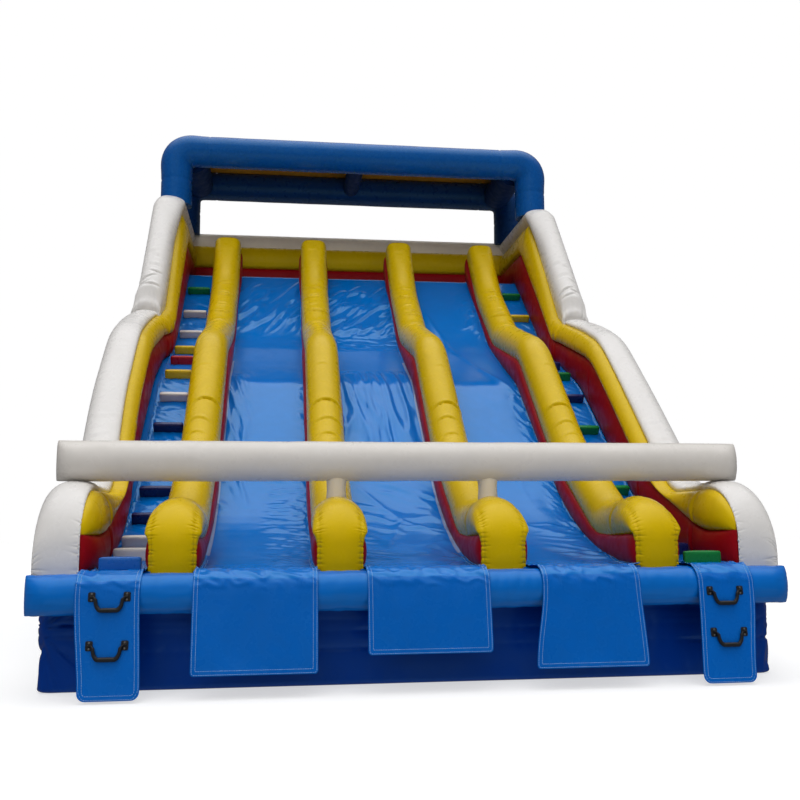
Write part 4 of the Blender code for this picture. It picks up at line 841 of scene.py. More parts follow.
def make_wall_white(sign, side):
    foot, seam, ridge = wall_sections()
    middle = (WALL_SEAM_X + WALL_OUTER_X) / 2
    half = (WALL_OUTER_X - WALL_SEAM_X) / 2
    down = foot - ridge
    length = np.linalg.norm(down, axis=1)
    edge = ridge + down * np.minimum(0.5, WALL_EDGE_DROP / np.maximum(length, 1e-6))[:, None]
    inward = 0.03 + 0.12 * eased((ridge[:, 0] - 6.4) / 0.7)
    count = 19
    quarter = np.linspace(0, math.pi / 2, count)
    columns = [(WALL_SEAM_X, foot)]
    for angle in quarter:
        columns.append((middle - half * math.cos(angle) - inward * math.sin(2 * angle),
                        seam + (ridge - seam) * math.sin(angle)))
    for angle in quarter[1:]:
        columns.append((middle + half * math.sin(angle), ridge + (edge - ridge) * (1 - math.cos(angle))))
    for share in np.linspace(0, 1, 12)[1:]:
        bulge = 0.0 if share == 1 else 0.012 * math.sin(math.pi * share)
        columns.append((WALL_OUTER_X - 0.05 * share - 0.012 + bulge, edge + (foot - edge) * share))
    grid = np.stack([points(sign * (x + wall_spread(sign, place[:, 0])), place[:, 0], place[:, 1])
                     for x, place in columns], axis=1)
    along, across = lengths_along(grid, count)
    inner = np.abs(across - across[:, 1:2])
    outer = np.abs(across - across[:, 2 * count - 1:2 * count])
    seed = 300 + sign * 20
    nose = 0.12 + 0.88 * eased((1.25 - along) / 0.35)
    height = puckers(along, inner, 0.055, 0.070, 0.0130, seed, 0.4) * nose
    height += puckers(along, outer, 0.055, 0.130, 0.0180, seed + 6, 0.4) * nose
    line = grid[:, count, 1]
    above = along - place_on(line, along[:, 0], COLLAR_Y)
    height += 0.020 * bell(above - 0.11, 0.075) - 0.040 * bell(above, 0.030)
    fan = puckers(across + 2.0, np.clip(above - 0.02, 0, None), 0.085, 0.36, 0.017, seed + 9, 0.35)
    height += fan * eased((above + 0.01) / 0.03)
    random = np.random.default_rng(seed)
    for y, half_width, depth, bow in WALL_FOLDS:
        centre = place_on(line, along[:, 0], y + random.uniform(-0.03, 0.03))
        height += fold(along, across, centre, random.uniform(-0.12, 0.16), half_width, depth, bow, 0.013)
    height += fold(along, across, place_on(line, along[:, 0], NOSE_CREASE_Y), 0.0, 0.50, 0.024, 0.0, 0.018)
    height += 0.0015 * noise(along / 0.40, across / 0.25, seed + 2)
    height *= np.where(across < across[:, 1:2] - 0.001, 0.0, 1.0)
    piece = tube_piece(f"wall_white_{side}", swollen(grid, height), PAINT["white"], 70)
    return settle(piece, [f"outer_wall_white_{side}"])


def wall_top_at(y):
    cosine = 1 - np.minimum(y, WALL_NOSE_LENGTH) / WALL_NOSE_LENGTH
    rise = WALL_WHITE_SEAM[0][1] - NOSE_START_Z
    nose = NOSE_START_Z + rise * np.sqrt(np.maximum(0.0, 1 - cosine * cosine))
    return np.where(y >= WALL_NOSE_LENGTH, wall_height(WALL_WHITE_SEAM, y), nose)


def lobe_levels(name, y):
    if name == "yellow":
        return wall_height(WALL_YELLOW_SEAM, y) + GAP, wall_top_at(y)
    return height_at(BED, y) + GAP, wall_height(WALL_YELLOW_SEAM, y)


def lobe_profile(name, low, high):
    """Offsets from the seam plane and heights of a swelling lobe."""
    first = WALL_SEAM_X - WALL_INNER_X
    last = 0.012 if name == "yellow" else first
    share = np.linspace(0, 1, 17)[None, :]
    depth = first + (last - first) * share + LOBE_SWELL[name] * np.sqrt(4 * share * (1 - share))
    return depth + 0 * low[:, None], low[:, None] + (high - low)[:, None] * share


# Folds of the walls' lobes: y and depth
LOBE_FOLDS = ((0.72, 0.016), (2.1, 0.008), (2.5, 0.006), (3.9, 0.007), (5.35, 0.016), (5.50, 0.012),
              (5.62, 0.008), (6.1, 0.006), (6.5, 0.005))


def make_wall_lobe(name, sign, side):
    start = 0.035 if name == "yellow" else 0.02
    y = start + (REAR_WALL_FRONT_Y - start) * np.linspace(0, 1, 520) ** 1.15
    low, high = lobe_levels(name, y)
    depth, tall = lobe_profile(name, low, np.maximum(high, low + 0.004))
    depth = depth * np.sqrt(1 - np.clip(1 - (y - start) / 0.50, 0, 0.995) ** 2)[:, None]
    along, across = lengths_along(points(depth, y[:, None], tall), 0)
    edge = nearer_edge(across)
    seed = 500 + sign * 30 + len(name)
    crease = puckers(along, edge, 0.10, 0.055, 0.0050, seed, 0.7) * np.clip(edge / 0.012, 0, 1)
    crease += 0.0015 * noise(along / 0.45, across / 0.25, seed + 1)
    random = np.random.default_rng(seed)
    for place, fold_depth in LOBE_FOLDS:
        centre = place_on(y, along[:, 0], place + random.uniform(-0.05, 0.05))
        crease += fold(along, across - across[:, -1:] / 2, centre, 0.0, 0.24, fold_depth,
                       random.uniform(-0.08, 0.08), 0.018)
    crease *= np.clip((high - low)[:, None] / 0.15, 0, 1)
    offset = np.maximum(depth + crease, 0.004)
    mitre = eased((y - (REAR_WALL_FRONT_Y - 0.35)) / 0.35)[:, None]
    face = WALL_SEAM_X - GAP + wall_spread(sign, y)
    skin = points(sign * (face[:, None] - offset), y[:, None] - offset * mitre, tall)
    piece = tube_piece(f"wall_{name}_{side}", backed(skin, sign * face, y), PAINT[name], 60)
    return settle(piece, [f"outer_wall_{name}_{side}"])


def make_rear_lobe(name):
    end = WALL_SEAM_X - GAP
    x = np.linspace(-end, end, 240)
    low, high = lobe_levels(name, np.full(len(x), REAR_WALL_FRONT_Y))
    depth, tall = lobe_profile(name, low, high)
    along, across = lengths_along(points(x[:, None], depth, tall), 0)
    edge = nearer_edge(across)
    crease = puckers(along, edge, 0.12, 0.06, 0.006, 620 + len(name), 0.6) * np.clip(edge / 0.012, 0, 1)
    crease += 0.003 * noise(along / 0.6, across / 0.30, 630)
    offset = np.maximum(depth + crease, 0.004)
    columns = np.sign(x)[:, None] * np.minimum(np.abs(x)[:, None], end - offset)
    skin = points(columns, REAR_WALL_FRONT_Y - GAP - offset, tall)
    piece = tube_piece(f"rear_{name}", backed(skin, x, REAR_WALL_FRONT_Y - GAP), PAINT[name], 60)
    return settle(piece, [f"rear_wall_{name}"])


def make_rear_white():
    """White chamber of the rear wall: flat front, rounded top, plain back."""
    end = WALL_SEAM_X - GAP
    x = np.linspace(-end, end, 240)
    angle = np.linspace(0, math.pi, 25)
    middle = (REAR_WALL_FRONT_Y + REAR_Y) / 2
    half = (REAR_Y - REAR_WALL_FRONT_Y) / 2
    low = PLATFORM_Z + GAP
    drop = WALL_TOP_Z - WALL_EDGE_DROP
    edge = np.where(angle < math.pi / 2, REAR_WHITE_SEAM_Z, drop)
    share = np.linspace(0, 1, 14)[1:]
    profile = np.concatenate([[(REAR_WALL_FRONT_Y, low)],
                              points(middle - half * np.cos(angle), edge + (WALL_TOP_Z - edge) * np.sin(angle)),
                              points(REAR_Y - 0.05 * share, drop + (low - drop) * share)])
    grid = points(x[:, None], profile[None, :, 0], profile[None, :, 1])
    along, across = lengths_along(grid, 13)
    height = puckers(along, np.abs(across - across[:, 1:2]), 0.11, 0.05, 0.004, 660, 0.5)
    height += puckers(along, np.abs(across - across[:, 25:26]), 0.085, 0.09, 0.007, 670, 0.5)
    height += 0.002 * noise(along / 0.60, across / 0.30, 680)
    height[:, :1] = 0
    # The rear chamber takes the lighter warm white: painted bounce light on a wall in the roof's shade.
    piece = tube_piece("rear_white_painted_light", swollen(grid, height), PAINT["rear_white_painted_light"], 60)
    return settle(piece, ["rear_wall_white"])


# Sheets that run down the lanes and stairways and hang on as flaps

def flap_place(depth):
    """Points of a flap's middle plane at depths below its axis."""
    return points(FLAP_AXIS[0] - math.sin(FLAP_LEAN) * depth, FLAP_AXIS[1] - math.cos(FLAP_LEAN) * depth)


def side_line(bottom):
    """Side view of a sheet from the top of its lane to the lower edge of its flap."""
    bed = np.array([(SHEET_TOP_Y, PLATFORM_Z)]
                   + [point for point in reversed(BED) if BODY_FRONT_Y < point[0] < SHEET_TOP_Y])
    tangent = np.gradient(np.concatenate([bed, [(BUMPER_Y, DECK_Z)]]), axis=0)[:-1]
    tangent /= np.linalg.norm(tangent, axis=1, keepdims=True)
    bed = bed + points(tangent[:, 1], -tangent[:, 0]) * SHEET_OFFSET
    angle = np.radians(np.linspace(90, 160, 24))
    radius = BUMPER_RADIUS + SHEET_OFFSET
    arc = points(BUMPER_Y + radius * np.cos(angle), DECK_Z - BUMPER_RADIUS + radius * np.sin(angle))
    hang = flap_place(np.linspace(0.03, (FLAP_AXIS[1] - bottom) / math.cos(FLAP_LEAN), 40))
    line = np.concatenate([bed, arc, hang])
    along = lengths_of(line)
    fine = 0.004
    line = smoothed(place_at(np.arange(0, along[-1], fine), along, line), 5)
    spacing = np.interp(line[:, 0], (-0.30, -0.15, 0.5, 3.5, 6.0, 8.0), (0.014, 0.016, 0.022, 0.023, 0.025, 0.030))
    total = np.concatenate([[0.0], np.cumsum(fine / spacing[:-1])])
    marks = np.linspace(0, total[-1], int(total[-1]) + 1)
    index = np.interp(marks, total, np.arange(len(total)))
    line = place_at(index, np.arange(len(line)), line)
    return line, lengths_of(line)


def streaks(x, s, angle, length, width, seed, sharp=2.2):
    """Sharp-edged folds that run at an angle to a sheet's length, from 0 to 1."""
    turn = math.radians(angle)
    along = (x * math.sin(turn) + s * math.cos(turn)) / length
    beside = (x * math.cos(turn) - s * math.sin(turn)) / width
    beside = beside + 0.35 * noise(along * 1.3, beside * 0.4, seed + 2)
    field = noise(along, beside, seed) + 0.35 * noise(along * 2.1, beside * 2.3, seed + 1)
    return np.clip(1 - sharp * np.abs(field), 0, 1)


def crease_line(x, s, start, end, depth, width):
    """One raised fold between two places of a sheet, fading out at both ends."""
    dx = end[0] - start[0]
    ds = end[1] - start[1]
    length = math.hypot(dx, ds)
    share = ((x - start[0]) * dx + (s - start[1]) * ds) / length ** 2
    beside = ((x - start[0]) * ds - (s - start[1]) * dx) / length
    fade = np.sqrt(np.clip(4 * share * (1 - share), 0, 1))
    return depth * fade * np.exp(-np.abs(beside) / width) * (1 - bell(beside, 0.3 * width) * 0.15)


def zone(y, low, high, soft=0.15):
    """1 between two places along the slide, fading to 0 beyond them."""
    return eased((y - low + soft) / (2 * soft)) * eased((high + soft - y) / (2 * soft))


# Folded areas of each lane: height, y from, to and fade; share of the width where it starts and
# fades in, with a minus for the left part; angle, length, width, seed and sharpness of the folds
LANE_STREAKS = {
    1: ((0.036, 6.50, 7.60, 0.25, None, -32, 0.60, 0.17, 4, 1.7),
        (0.020, 2.2, 4.7, 0.15, (0.42, -0.25), 12, 0.75, 0.12, 5, 1.6),
        (0.012, 0.5, 2.7, 0.15, (0.45, 0.2), 84, 0.30, 0.065, 6, 2.2),
        (0.010, 1.0, 4.3, 0.15, (0.86, 0.06), 60, 0.12, 0.10, 7, 2.2)),
    2: ((0.038, 6.35, 7.60, 0.15, None, -38, 0.50, 0.11, 4, 1.7),
        (0.012, 5.90, 6.40, 0.1, None, 84, 0.25, 0.07, 5, 2.2),
        (0.034, 3.0, 4.8, 0.15, None, 4, 1.00, 0.15, 6, 1.5),
        (0.018, 0.7, 2.7, 0.15, None, 62, 0.55, 0.22, 7, 1.6)),
    3: ((0.016, 6.3, 7.6, 0.15, (0.55, 0.3), -30, 0.50, 0.12, 4, 2.2),
        (0.014, 1.6, 4.4, 0.15, (0.80, 0.1), 24, 0.22, 0.07, 5, 2.2),
        (0.007, 2.0, 4.3, 0.15, None, 4, 0.90, 0.28, 8, 1.6),
        (0.014, 0.6, 1.9, 0.15, (0.4, 0.3), 75, 0.40, 0.12, 6, 2.2)),
}
# Single folds of each lane: share of the width and y at both ends, and depth
LANE_CREASES = {
    1: ((0.98, 7.75, 0.62, 6.75, 0.030), (0.92, 7.70, 0.55, 6.60, 0.022), (0.14, 4.40, 0.06, 3.10, 0.024),
        (0.30, 3.70, 0.16, 2.70, 0.020), (0.22, 2.80, 0.34, 2.20, 0.018), (0.60, 2.30, 0.98, 2.05, 0.014),
        (0.55, 1.80, 0.95, 1.70, 0.012), (0.62, 1.35, 0.98, 1.22, 0.014)),
    2: ((0.12, 2.60, 0.55, 1.90, 0.026), (0.55, 1.90, 0.30, 1.20, 0.022), (0.50, 1.95, 0.95, 1.55, 0.024),
        (0.20, 1.10, 0.70, 0.90, 0.016), (0.80, 1.30, 0.97, 0.60, 0.020), (0.40, 4.60, 0.34, 3.10, 0.024)),
    3: ((0.06, 7.20, 0.40, 5.90, 0.026), (0.36, 6.05, 0.66, 4.95, 0.028), (0.62, 5.10, 0.92, 4.20, 0.024),
        (0.30, 1.90, 0.80, 1.50, 0.016), (0.45, 1.20, 0.98, 0.80, 0.028), (0.62, 0.95, 0.99, 0.55, 0.026)),
}


def lane_folds(number):
    """Function for the height of the folds on a lane's sheet above its smooth shape."""
    seed = 800 + 50 * number

    def folds(x, s, y, width, at):
        height = 0.0022 * (1 + noise(x / 0.45, s / 0.70, seed)) + 0.0008 * noise(x / 0.12, s / 0.15, seed + 1)
        height += 0.018 * zone(y, -0.34, 0.15, 0.08) * streaks(x, s, 62, 0.15, 0.07, seed + 2, 1.7)
        for depth, low, high, soft, part, angle, length, wide, extra, sharp in LANE_STREAKS[number]:
            field = depth * zone(y, low, high, soft) * streaks(x, s, angle, length, wide, seed + extra, sharp)
            height += field * (eased((x / width - part[0]) / part[1]) if part else 1)
        for x0, y0, x1, y1, depth in LANE_CREASES[number]:
            height += crease_line(x, s, (x0 * width, at(y0)), (x1 * width, at(y1)), depth, 0.040)
        return height
    return folds


def stair_folds(seed):
    """Function for the height of the folds on a stairway's sheet."""
    def folds(x, s, y, width, at):
        height = 0.0030 * (1 + noise(x / 0.30, s / 0.50, seed)) + 0.0012 * noise(x / 0.10, s / 0.12, seed + 1)
        height += 0.012 * zone(y, 0.4, 7.6) * streaks(x, s, 55, 0.26, 0.10, seed + 2, 1.8)
        height += 0.016 * zone(y, -0.34, 0.15, 0.08) * streaks(x, s, 62, 0.15, 0.07, seed + 3, 1.7)
        return height
    return folds


def flap_folds(x, depth, width, length, seed):
    """Height of the hem, of its stitched edge and of soft waves on a hanging flap."""
    edge = np.minimum(np.minimum(x, width - x), length - depth)
    hem = 0.0018 * eased((HEM - edge) / 0.005)
    wave = 0.0060 * noise(x / 0.18, depth / 0.50, seed) * eased(depth / 0.2) * eased((length - depth) / 0.15)
    return hem + wave + 0.0030 * bell(depth, 0.16) * noise(x / 0.07, depth / 0.3, seed + 1)


def sheet_grid(edges, crown, flap, bottom, corner, folds, seed):
    """Rows of points of one sheet with its flap, and each row's depth below the flap's axis."""
    line, along = side_line(bottom)
    width = edges[1] - edges[0]
    inner = np.linspace(HEM, width - HEM, max(4, int((width - 0.10) / 0.020)) + 1)
    rim = np.array([0.0, 0.004, 0.012, 0.024, 0.036, 0.044])
    x = np.concatenate([rim, inner, width - rim[::-1]])
    y = line[:, :1]
    s = along[:, None]
    start = along[int(np.argmin(np.abs(line[:, 1] - FLAP_AXIS[1]) + np.abs(line[:, 0] - FLAP_AXIS[0])))]
    length = along[-1] - start
    depth = s - start
    hanging = eased((depth + 0.06) / 0.09)
    tangent = directions_of(line)
    normal = points(tangent[:, 1], -tangent[:, 0])
    order = np.argsort(line[:, 0])

    def at(place):
        return float(np.interp(place, line[order, 0], along[order]))

    across = np.repeat(x[None, :], len(line), axis=0)
    edge = np.minimum(across, width - across)
    height = folds(across, s, y, width, at) * (1 - hanging)
    height *= 1 - 0.6 * zone(y, 5.0, 5.8, 0.2)
    ripple = 1 + 0.5 * noise(s / 0.06 + 0 * across, across * 0, seed + 30)
    bed = 1 - eased((depth + 0.30) / 0.12)
    height += bed * 0.016 * np.clip(1 - edge / 0.032, 0, 1) ** 2 * ripple
    height = np.clip(height, 0, 0.040)
    flap_width = flap[1] - flap[0]
    flap_x = across * flap_width / width
    height += hanging * flap_folds(flap_x, np.maximum(depth, 0), flap_width, length, seed + 40)
    over = eased((-0.04 - y) / 0.10)
    lower = eased(depth / length)
    sides = []
    for first, second, third in zip(edges, crown, flap):
        upper = first + (second - first) * over
        sides.append(upper + (third - upper) * lower)
    near = np.minimum(flap_x, flap_width - flap_x)
    pull = corner - np.sqrt(np.maximum(corner ** 2 - np.clip(corner - near, 0, corner) ** 2, 0))
    pull = pull * eased((depth - length + 4 * corner) / (4 * corner)) * hanging
    place = line[:, None, :] + normal[:, None, :] * height[..., None] - tangent[:, None, :] * pull[..., None]
    return points(sides[0] + (sides[1] - sides[0]) * across / width, place[..., 0], place[..., 1]), along - start


def on_sheet(grid, normals, depths, spot, flap, depth, lift):
    """Point over a sheet's outer side, as far from its nearer edge as a spot is from its flap's."""
    row = min(float(np.interp(depth, depths, np.arange(len(depths)))), len(depths) - 1.001)
    low = int(row)
    line, out = (part[low] * (1 - row + low) + part[low + 1] * (row - low) for part in (grid, normals))
    near_left = (spot - flap[0]) / (flap[1] - flap[0]) < 0.5
    x = line[0, 0] + spot - flap[0] if near_left else line[-1, 0] - flap[1] + spot
    return place_at(x, line[:, 0], line) + place_at(x, line[:, 0], out) * lift


def stitch_rows(name, grid, depths, flap, corner):
    """Two rows of thread dashes round the hem of a sheet, proud of its surface."""
    left, right = flap
    corners = []
    faces = []
    normals = normals_of(grid, False)
    if normals[-1, :, 1].mean() > 0:
        normals = -normals
    for inset in STITCH_INSETS:
        radius = max(0.004, corner - inset)
        low = depths[-1] - inset - radius
        route = [(left + inset, STITCH_START)]
        for angle in np.linspace(0, math.pi / 2, 7):
            route.append((left + inset + radius * (1 - math.cos(angle)), low + radius * math.sin(angle)))
        route = np.array(route + [(left + right - x, depth) for x, depth in reversed(route)])
        marks = lengths_of(route)
        place = 0.0
        while place + STITCH_LENGTH < marks[-1]:
            ends = [place_at(mark, marks, route) for mark in (place, place + STITCH_LENGTH)]
            dx, depth = ends[1] - ends[0]
            half = STITCH_HALF_WIDTH / math.hypot(dx, depth)
            base = len(corners)
            for end in ends:
                for flank, lift in ((-half, 0.0008), (half, 0.0008), (0, 0.0032)):
                    corners.append(on_sheet(grid, normals, depths, end[0] - depth * flank, flap,
                                            end[1] + dx * flank, lift))
            faces += [tuple(base + index for index in face)
                      for face in ((0, 1, 4, 3), (1, 2, 5, 4), (2, 0, 3, 5), (0, 2, 1), (3, 4, 5))]
            place += STITCH_PITCH
    return settle(new_object(name, corners, faces, PAINT["thread"]), body=None)


def make_sheet(name, edges, crown, flap, bottom, corner, folds, nodes, seed, tape=None):
    """One continuous sheet with its flap and its stitching."""
    grid, depths = sheet_grid(edges, crown, flap, bottom, corner, folds, seed)
    piece = sheet_piece(name, grid, SHEET_THICKNESS, PAINT["lane"])
    piece.data.materials.append(PAINT["flap"])
    piece.data.materials.append(PAINT["tape"])
    index = np.zeros(len(piece.data.polygons), np.int32)
    rows, columns = grid.shape[:2]
    single = (rows - 1) * (columns - 1)
    taped = (grid[:-1, 0, 1] > 1.0) & (grid[:-1, 0, 1] < 5.3)
    for start in (0, single):
        block = index[start:start + single].reshape(rows - 1, columns - 1)
        block[depths[:-1] > -0.09] = 1
        if tape:
            block[taped, slice(TAPE_COLUMNS) if tape == "left" else slice(-TAPE_COLUMNS, None)] = 2
    piece.data.polygons.foreach_set("material_index", index)
    settle(piece, nodes, None)
    for part in (piece, stitch_rows(f"{name}_stitches", grid, depths, flap, corner)):
        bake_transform(part)


def make_lanes():
    for number, bottom in enumerate(LANE_FLAP_BOTTOMS, start=1):
        edges = (DIVIDER_X[number - 1] + DIVIDER_SEAM_HALF + SHEET_EDGE_MARGIN,
                 DIVIDER_X[number] - DIVIDER_SEAM_HALF - SHEET_EDGE_MARGIN)
        crown, flap = (LANE_3_CROWN, LANE_3_FLAP) if number == 3 else (edges, edges)
        make_sheet(f"lane_{number}", edges, crown, flap, bottom, LANE_FLAP_CORNER,
                   lane_folds(number), [f"lane_sheet_{number}", f"lane_flap_{number}"], 900 + 20 * number,
                   LANE_TAPE.get(number))


# Steps

def bed_face():
    """Side view of a stair sheet's outer face from the deck upwards."""
    line = np.array(BED)
    tangent = directions_of(line)
    return line + points(-tangent[:, 1], tangent[:, 0]) * (SHEET_OFFSET - 0.001)


def make_step(name, paint, x, height, seed):
    """Soft block across a stairway, with swollen faces and rounded edges."""
    line = bed_face()
    along = lengths_of(line)
    if height == DECK_Z:
        start = float(np.interp(BODY_FRONT_Y, line[:, 0], along))
    else:
        start = float(np.interp(height, np.maximum.accumulate(line[:, 1] + np.arange(len(line)) * 1e-9), along))
    low, high = place_at(np.array([start, start + STEP_HEIGHT]), along, line)
    up = (high - low) / np.linalg.norm(high - low)
    out = np.array([-up[1], up[0]])
    size = np.array([STEP_WIDTH, STEP_DEPTH + 0.004, STEP_HEIGHT])
    work = bmesh.new()
    bmesh.ops.create_cube(work, size=1.0)
    bmesh.ops.subdivide_edges(work, edges=work.edges[:], cuts=9, use_grid_fill=True)
    place = np.array([vertex.co for vertex in work.verts])
    place = np.sign(place) * 0.5 * (1 - (1 - np.abs(place) * 2) ** 1.5) * size
    core = np.clip(place, -size / 2 + STEP_EDGE_RADIUS, size / 2 - STEP_EDGE_RADIUS)
    arm = place - core
    length = np.linalg.norm(arm, axis=1, keepdims=True)
    place = core + arm / np.maximum(length, 1e-9) * np.minimum(length, STEP_EDGE_RADIUS)
    share = place / (size / 2)
    for axis, depth in ((0, 0.004), (1, 0.006), (2, 0.005)):
        bow = np.prod([1 - share[:, other] ** 4 for other in range(3) if other != axis], axis=0)
        place[:, axis] += share[:, axis] ** 3 * depth * (bow - 1)
    wobble = noise(place[:, 0] / 0.06, (place[:, 2] + place[:, 1]) / 0.05, seed) * 0.0016
    place[:, 2] += wobble * np.abs(share[:, 2])
    centre = (low + high) / 2 + out * (STEP_DEPTH / 2 - 0.002)
    for vertex, (across, deep, tall) in zip(work.verts, place):
        y, z = centre + out * deep + up * tall
        vertex.co = (x + across, y + SHIFT.y, z)
    data = bpy.data.meshes.new(name)
    work.to_mesh(data)
    work.free()
    data.shade_smooth()
    data.materials.append(PAINT[paint])
    piece = linked(name, data)
    face_outward(piece)
    settle(piece)


def make_stairs():
    inner = DIVIDER_X[3] + DIVIDER_SEAM_HALF + SHEET_EDGE_MARGIN
    for sign, side in SIDES:
        edges, crown, flap = (sorted((sign * first, sign * second)) for first, second in (
            (inner, WALL_INNER_X - SHEET_EDGE_MARGIN), STAIR_CROWN, STAIR_FLAP))
        nodes = [f"stair_{side}_{part}" for part in ("lower", "middle", "upper")] + [f"ladder_flap_{side}"]
        make_sheet(f"stairway_{side}", edges, crown, flap, LADDER_FLAP_BOTTOM,
                   LADDER_FLAP_CORNER, stair_folds(1000 + 40 * sign), nodes, 1000 + 30 * sign)
        for index, (colour, height) in enumerate(STEPS[side], start=1):
            make_step(f"step_{side}_{index}", f"step_{colour}", sign * STEP_X, height, 1100 + 20 * sign + index)


# Base, bumper, body and ribs

def base_plan():
    """Points round the base at even distances, with their outward directions."""
    radius = BASE_CORNER_RADIUS
    end_x = BASE_HALF_WIDTH - radius
    front, rear = BASE_FRONT_Y + radius, REAR_Y - radius
    corners = ((-end_x, front, 180, 0.022), (end_x, front, 270, 0.06), (end_x, rear, 0, 0.05), (-end_x, rear, 90, 0.06))
    route = []
    for index, (x, y, start, spacing) in enumerate(corners):
        for angle in np.radians(np.linspace(start, start + 90, 10)):
            route.append((x + radius * math.cos(angle), y + radius * math.sin(angle),
                          math.cos(angle), math.sin(angle)))
        next_x, next_y, turn = corners[(index + 1) % 4][:3]
        end = (next_x + radius * math.cos(math.radians(turn)), next_y + radius * math.sin(math.radians(turn)))
        first = route[-1]
        count = int(math.dist(first[:2], end) / spacing)
        for share in np.arange(1, count) / count:
            route.append((first[0] + (end[0] - first[0]) * share, first[1] + (end[1] - first[1]) * share,
                          first[2], first[3]))
    return np.array(route)


def make_base():
    plan = base_plan()
    tall = np.concatenate([[0.0, 0.004, 0.012, 0.024], np.linspace(0.04, 0.77, 44),
                           [0.782, 0.791, 0.797, BASE_TOP_Z]])[:, None]
    foot = np.clip(1 - tall / 0.04, 0, 1)
    top = np.clip((tall - 0.745) / 0.055, 0, 1)
    inset = BASE_EDGE_RADIUS * (2 - np.sqrt(1 - foot ** 2) - np.sqrt(1 - top ** 2 * 0.999))
    steps = np.linalg.norm(np.roll(plan, -1, axis=0)[:, :2] - plan[:, :2], axis=1)
    along = np.concatenate([[0.0], np.cumsum(steps)[:-1]])[None, :]
    x, y, out_x, out_y = (plan[None, :, axis] for axis in range(4))
    depth = np.zeros((len(tall), len(plan)))
    for index, crease in enumerate(CREASE_HEIGHTS):
        level = crease + 0.010 * noise(along / 0.9, 0 * tall, 1200 + index)
        strength = 0.15 + 1.5 * np.clip(noise(along / 0.45, 0 * tall, 1205 + index), 0, 1)
        depth -= strength * (0.016 * bell(tall - level, 0.014) + 0.006 * bell(tall - level, 0.06))
        depth += puckers(along + 0 * tall, np.abs(tall - level), 0.11, 0.07, 0.006, 1210 + index, 0.8)
    for sign, seed in ((-1, 1220), (1, 1240)):
        arm_x = np.abs(x - out_x * inset - sign * (BASE_HALF_WIDTH - 0.05))
        distance = np.hypot(arm_x, tall - 0.55)
        fan = ridged(np.arctan2(tall - 0.55, arm_x + 0.02) / 0.22, distance / 0.8, seed, 1.9)
        depth -= 0.034 * fan * bell(distance - 0.25, 0.35) * eased((0.9 - arm_x) / 0.5)
    front = (out_y < -0.5) * 1.0
    depth -= 0.010 * ridged(along / 0.55, tall / 0.045, 1260, 2.0) * bell(tall - 0.66, 0.10) * (0.4 + 0.6 * front)
    depth -= 0.007 * ridged(along / 0.09 + tall * 2, tall / 0.5, 1270, 2.0, 2) * bell(tall - 0.05, 0.10)
    depth -= 0.004 * (1 + noise(along / 0.35, tall / 0.20, 1280))
    depth *= np.clip(tall / 0.03, 0, 1)
    grid = points(x + out_x * (depth - inset), y + out_y * (depth - inset), tall)
    piece = tube_piece("base", grid, PAINT["deep"], 70)
    return settle(piece, ["float_base"])


def tube_rows(half_length, radius, end_length, end_share, spacing, seed):
    """Inflated tube across the slide with gathered flat ends: places, angles, radii and flatness."""
    near_end = half_length - end_length - 0.30
    inner = np.arange(-near_end, near_end, spacing)
    turn = np.linspace(0, math.pi / 2, 9)
    tight = np.linspace(near_end, half_length - end_length, 22)[:-1]
    cap = half_length - end_length + end_length * np.sin(turn)
    half_x = np.concatenate([tight, cap, half_length - np.array([0.003, 0.008, 0.010])])
    half_scale = np.concatenate([np.ones(len(tight)), end_share + (1 - end_share) * np.cos(turn),
                                 end_share * np.array([0.90, 0.55, 0.12])])
    x = np.concatenate([-half_x[::-1], inner[1:], half_x])[:, None]
    scale = np.concatenate([half_scale[::-1], np.ones(len(inner) - 1), half_scale])[:, None]
    angle = around(64)[None, :]
    from_end = np.clip(half_length - np.abs(x), 0, None)
    side = np.where(x > 0, 7, 0)
    cells = round(math.tau * radius / 0.045)
    cell = angle / math.tau * cells + 0.15 * np.sin(from_end / 0.03)
    depth = 0.65 + 0.35 * hashed(np.floor(cell) % cells, seed + side)
    reach = 0.10 + 0.06 * hashed(np.floor(cell) % cells, seed + 3 + side)
    out = radius * scale - 0.016 * depth * bell(cell % 1.0 - 0.5, 0.17) * bell(from_end, reach) * scale
    near = np.clip(from_end / 0.20, 0, 1)
    return x, angle, out, 0.10 + 0.90 * np.sqrt(1 - (1 - near) ** 2)


def make_bumper():
    x, angle, out, thin = tube_rows(BUMPER_HALF_LENGTH, BUMPER_RADIUS, 0.045, 0.96, 0.022, 1300)
    out = out - 0.005 * ridged(x / 0.10 + angle * 0.4, angle / 1.2, 1310, 1.8, 1)
    out = out - 0.003 * (1 + noise(x / 0.30, angle / 0.8, 1320))
    out = out - 0.005 * ridged(x / 0.30, angle / 0.16, 1330, 2.2) * bell(angle - math.radians(225), 0.6)
    out = out - 0.0030 * bell(angle - math.radians(205), 0.03)
    grid = points(BUMPER_MIDDLE_X + x, BUMPER_Y + thin * out * np.cos(angle),
                  DECK_Z - BUMPER_RADIUS + out * np.sin(angle))
    piece = tube_piece("bumper", grid, PAINT["bumper"], 70)
    return settle(piece, ["bumper_tube"])


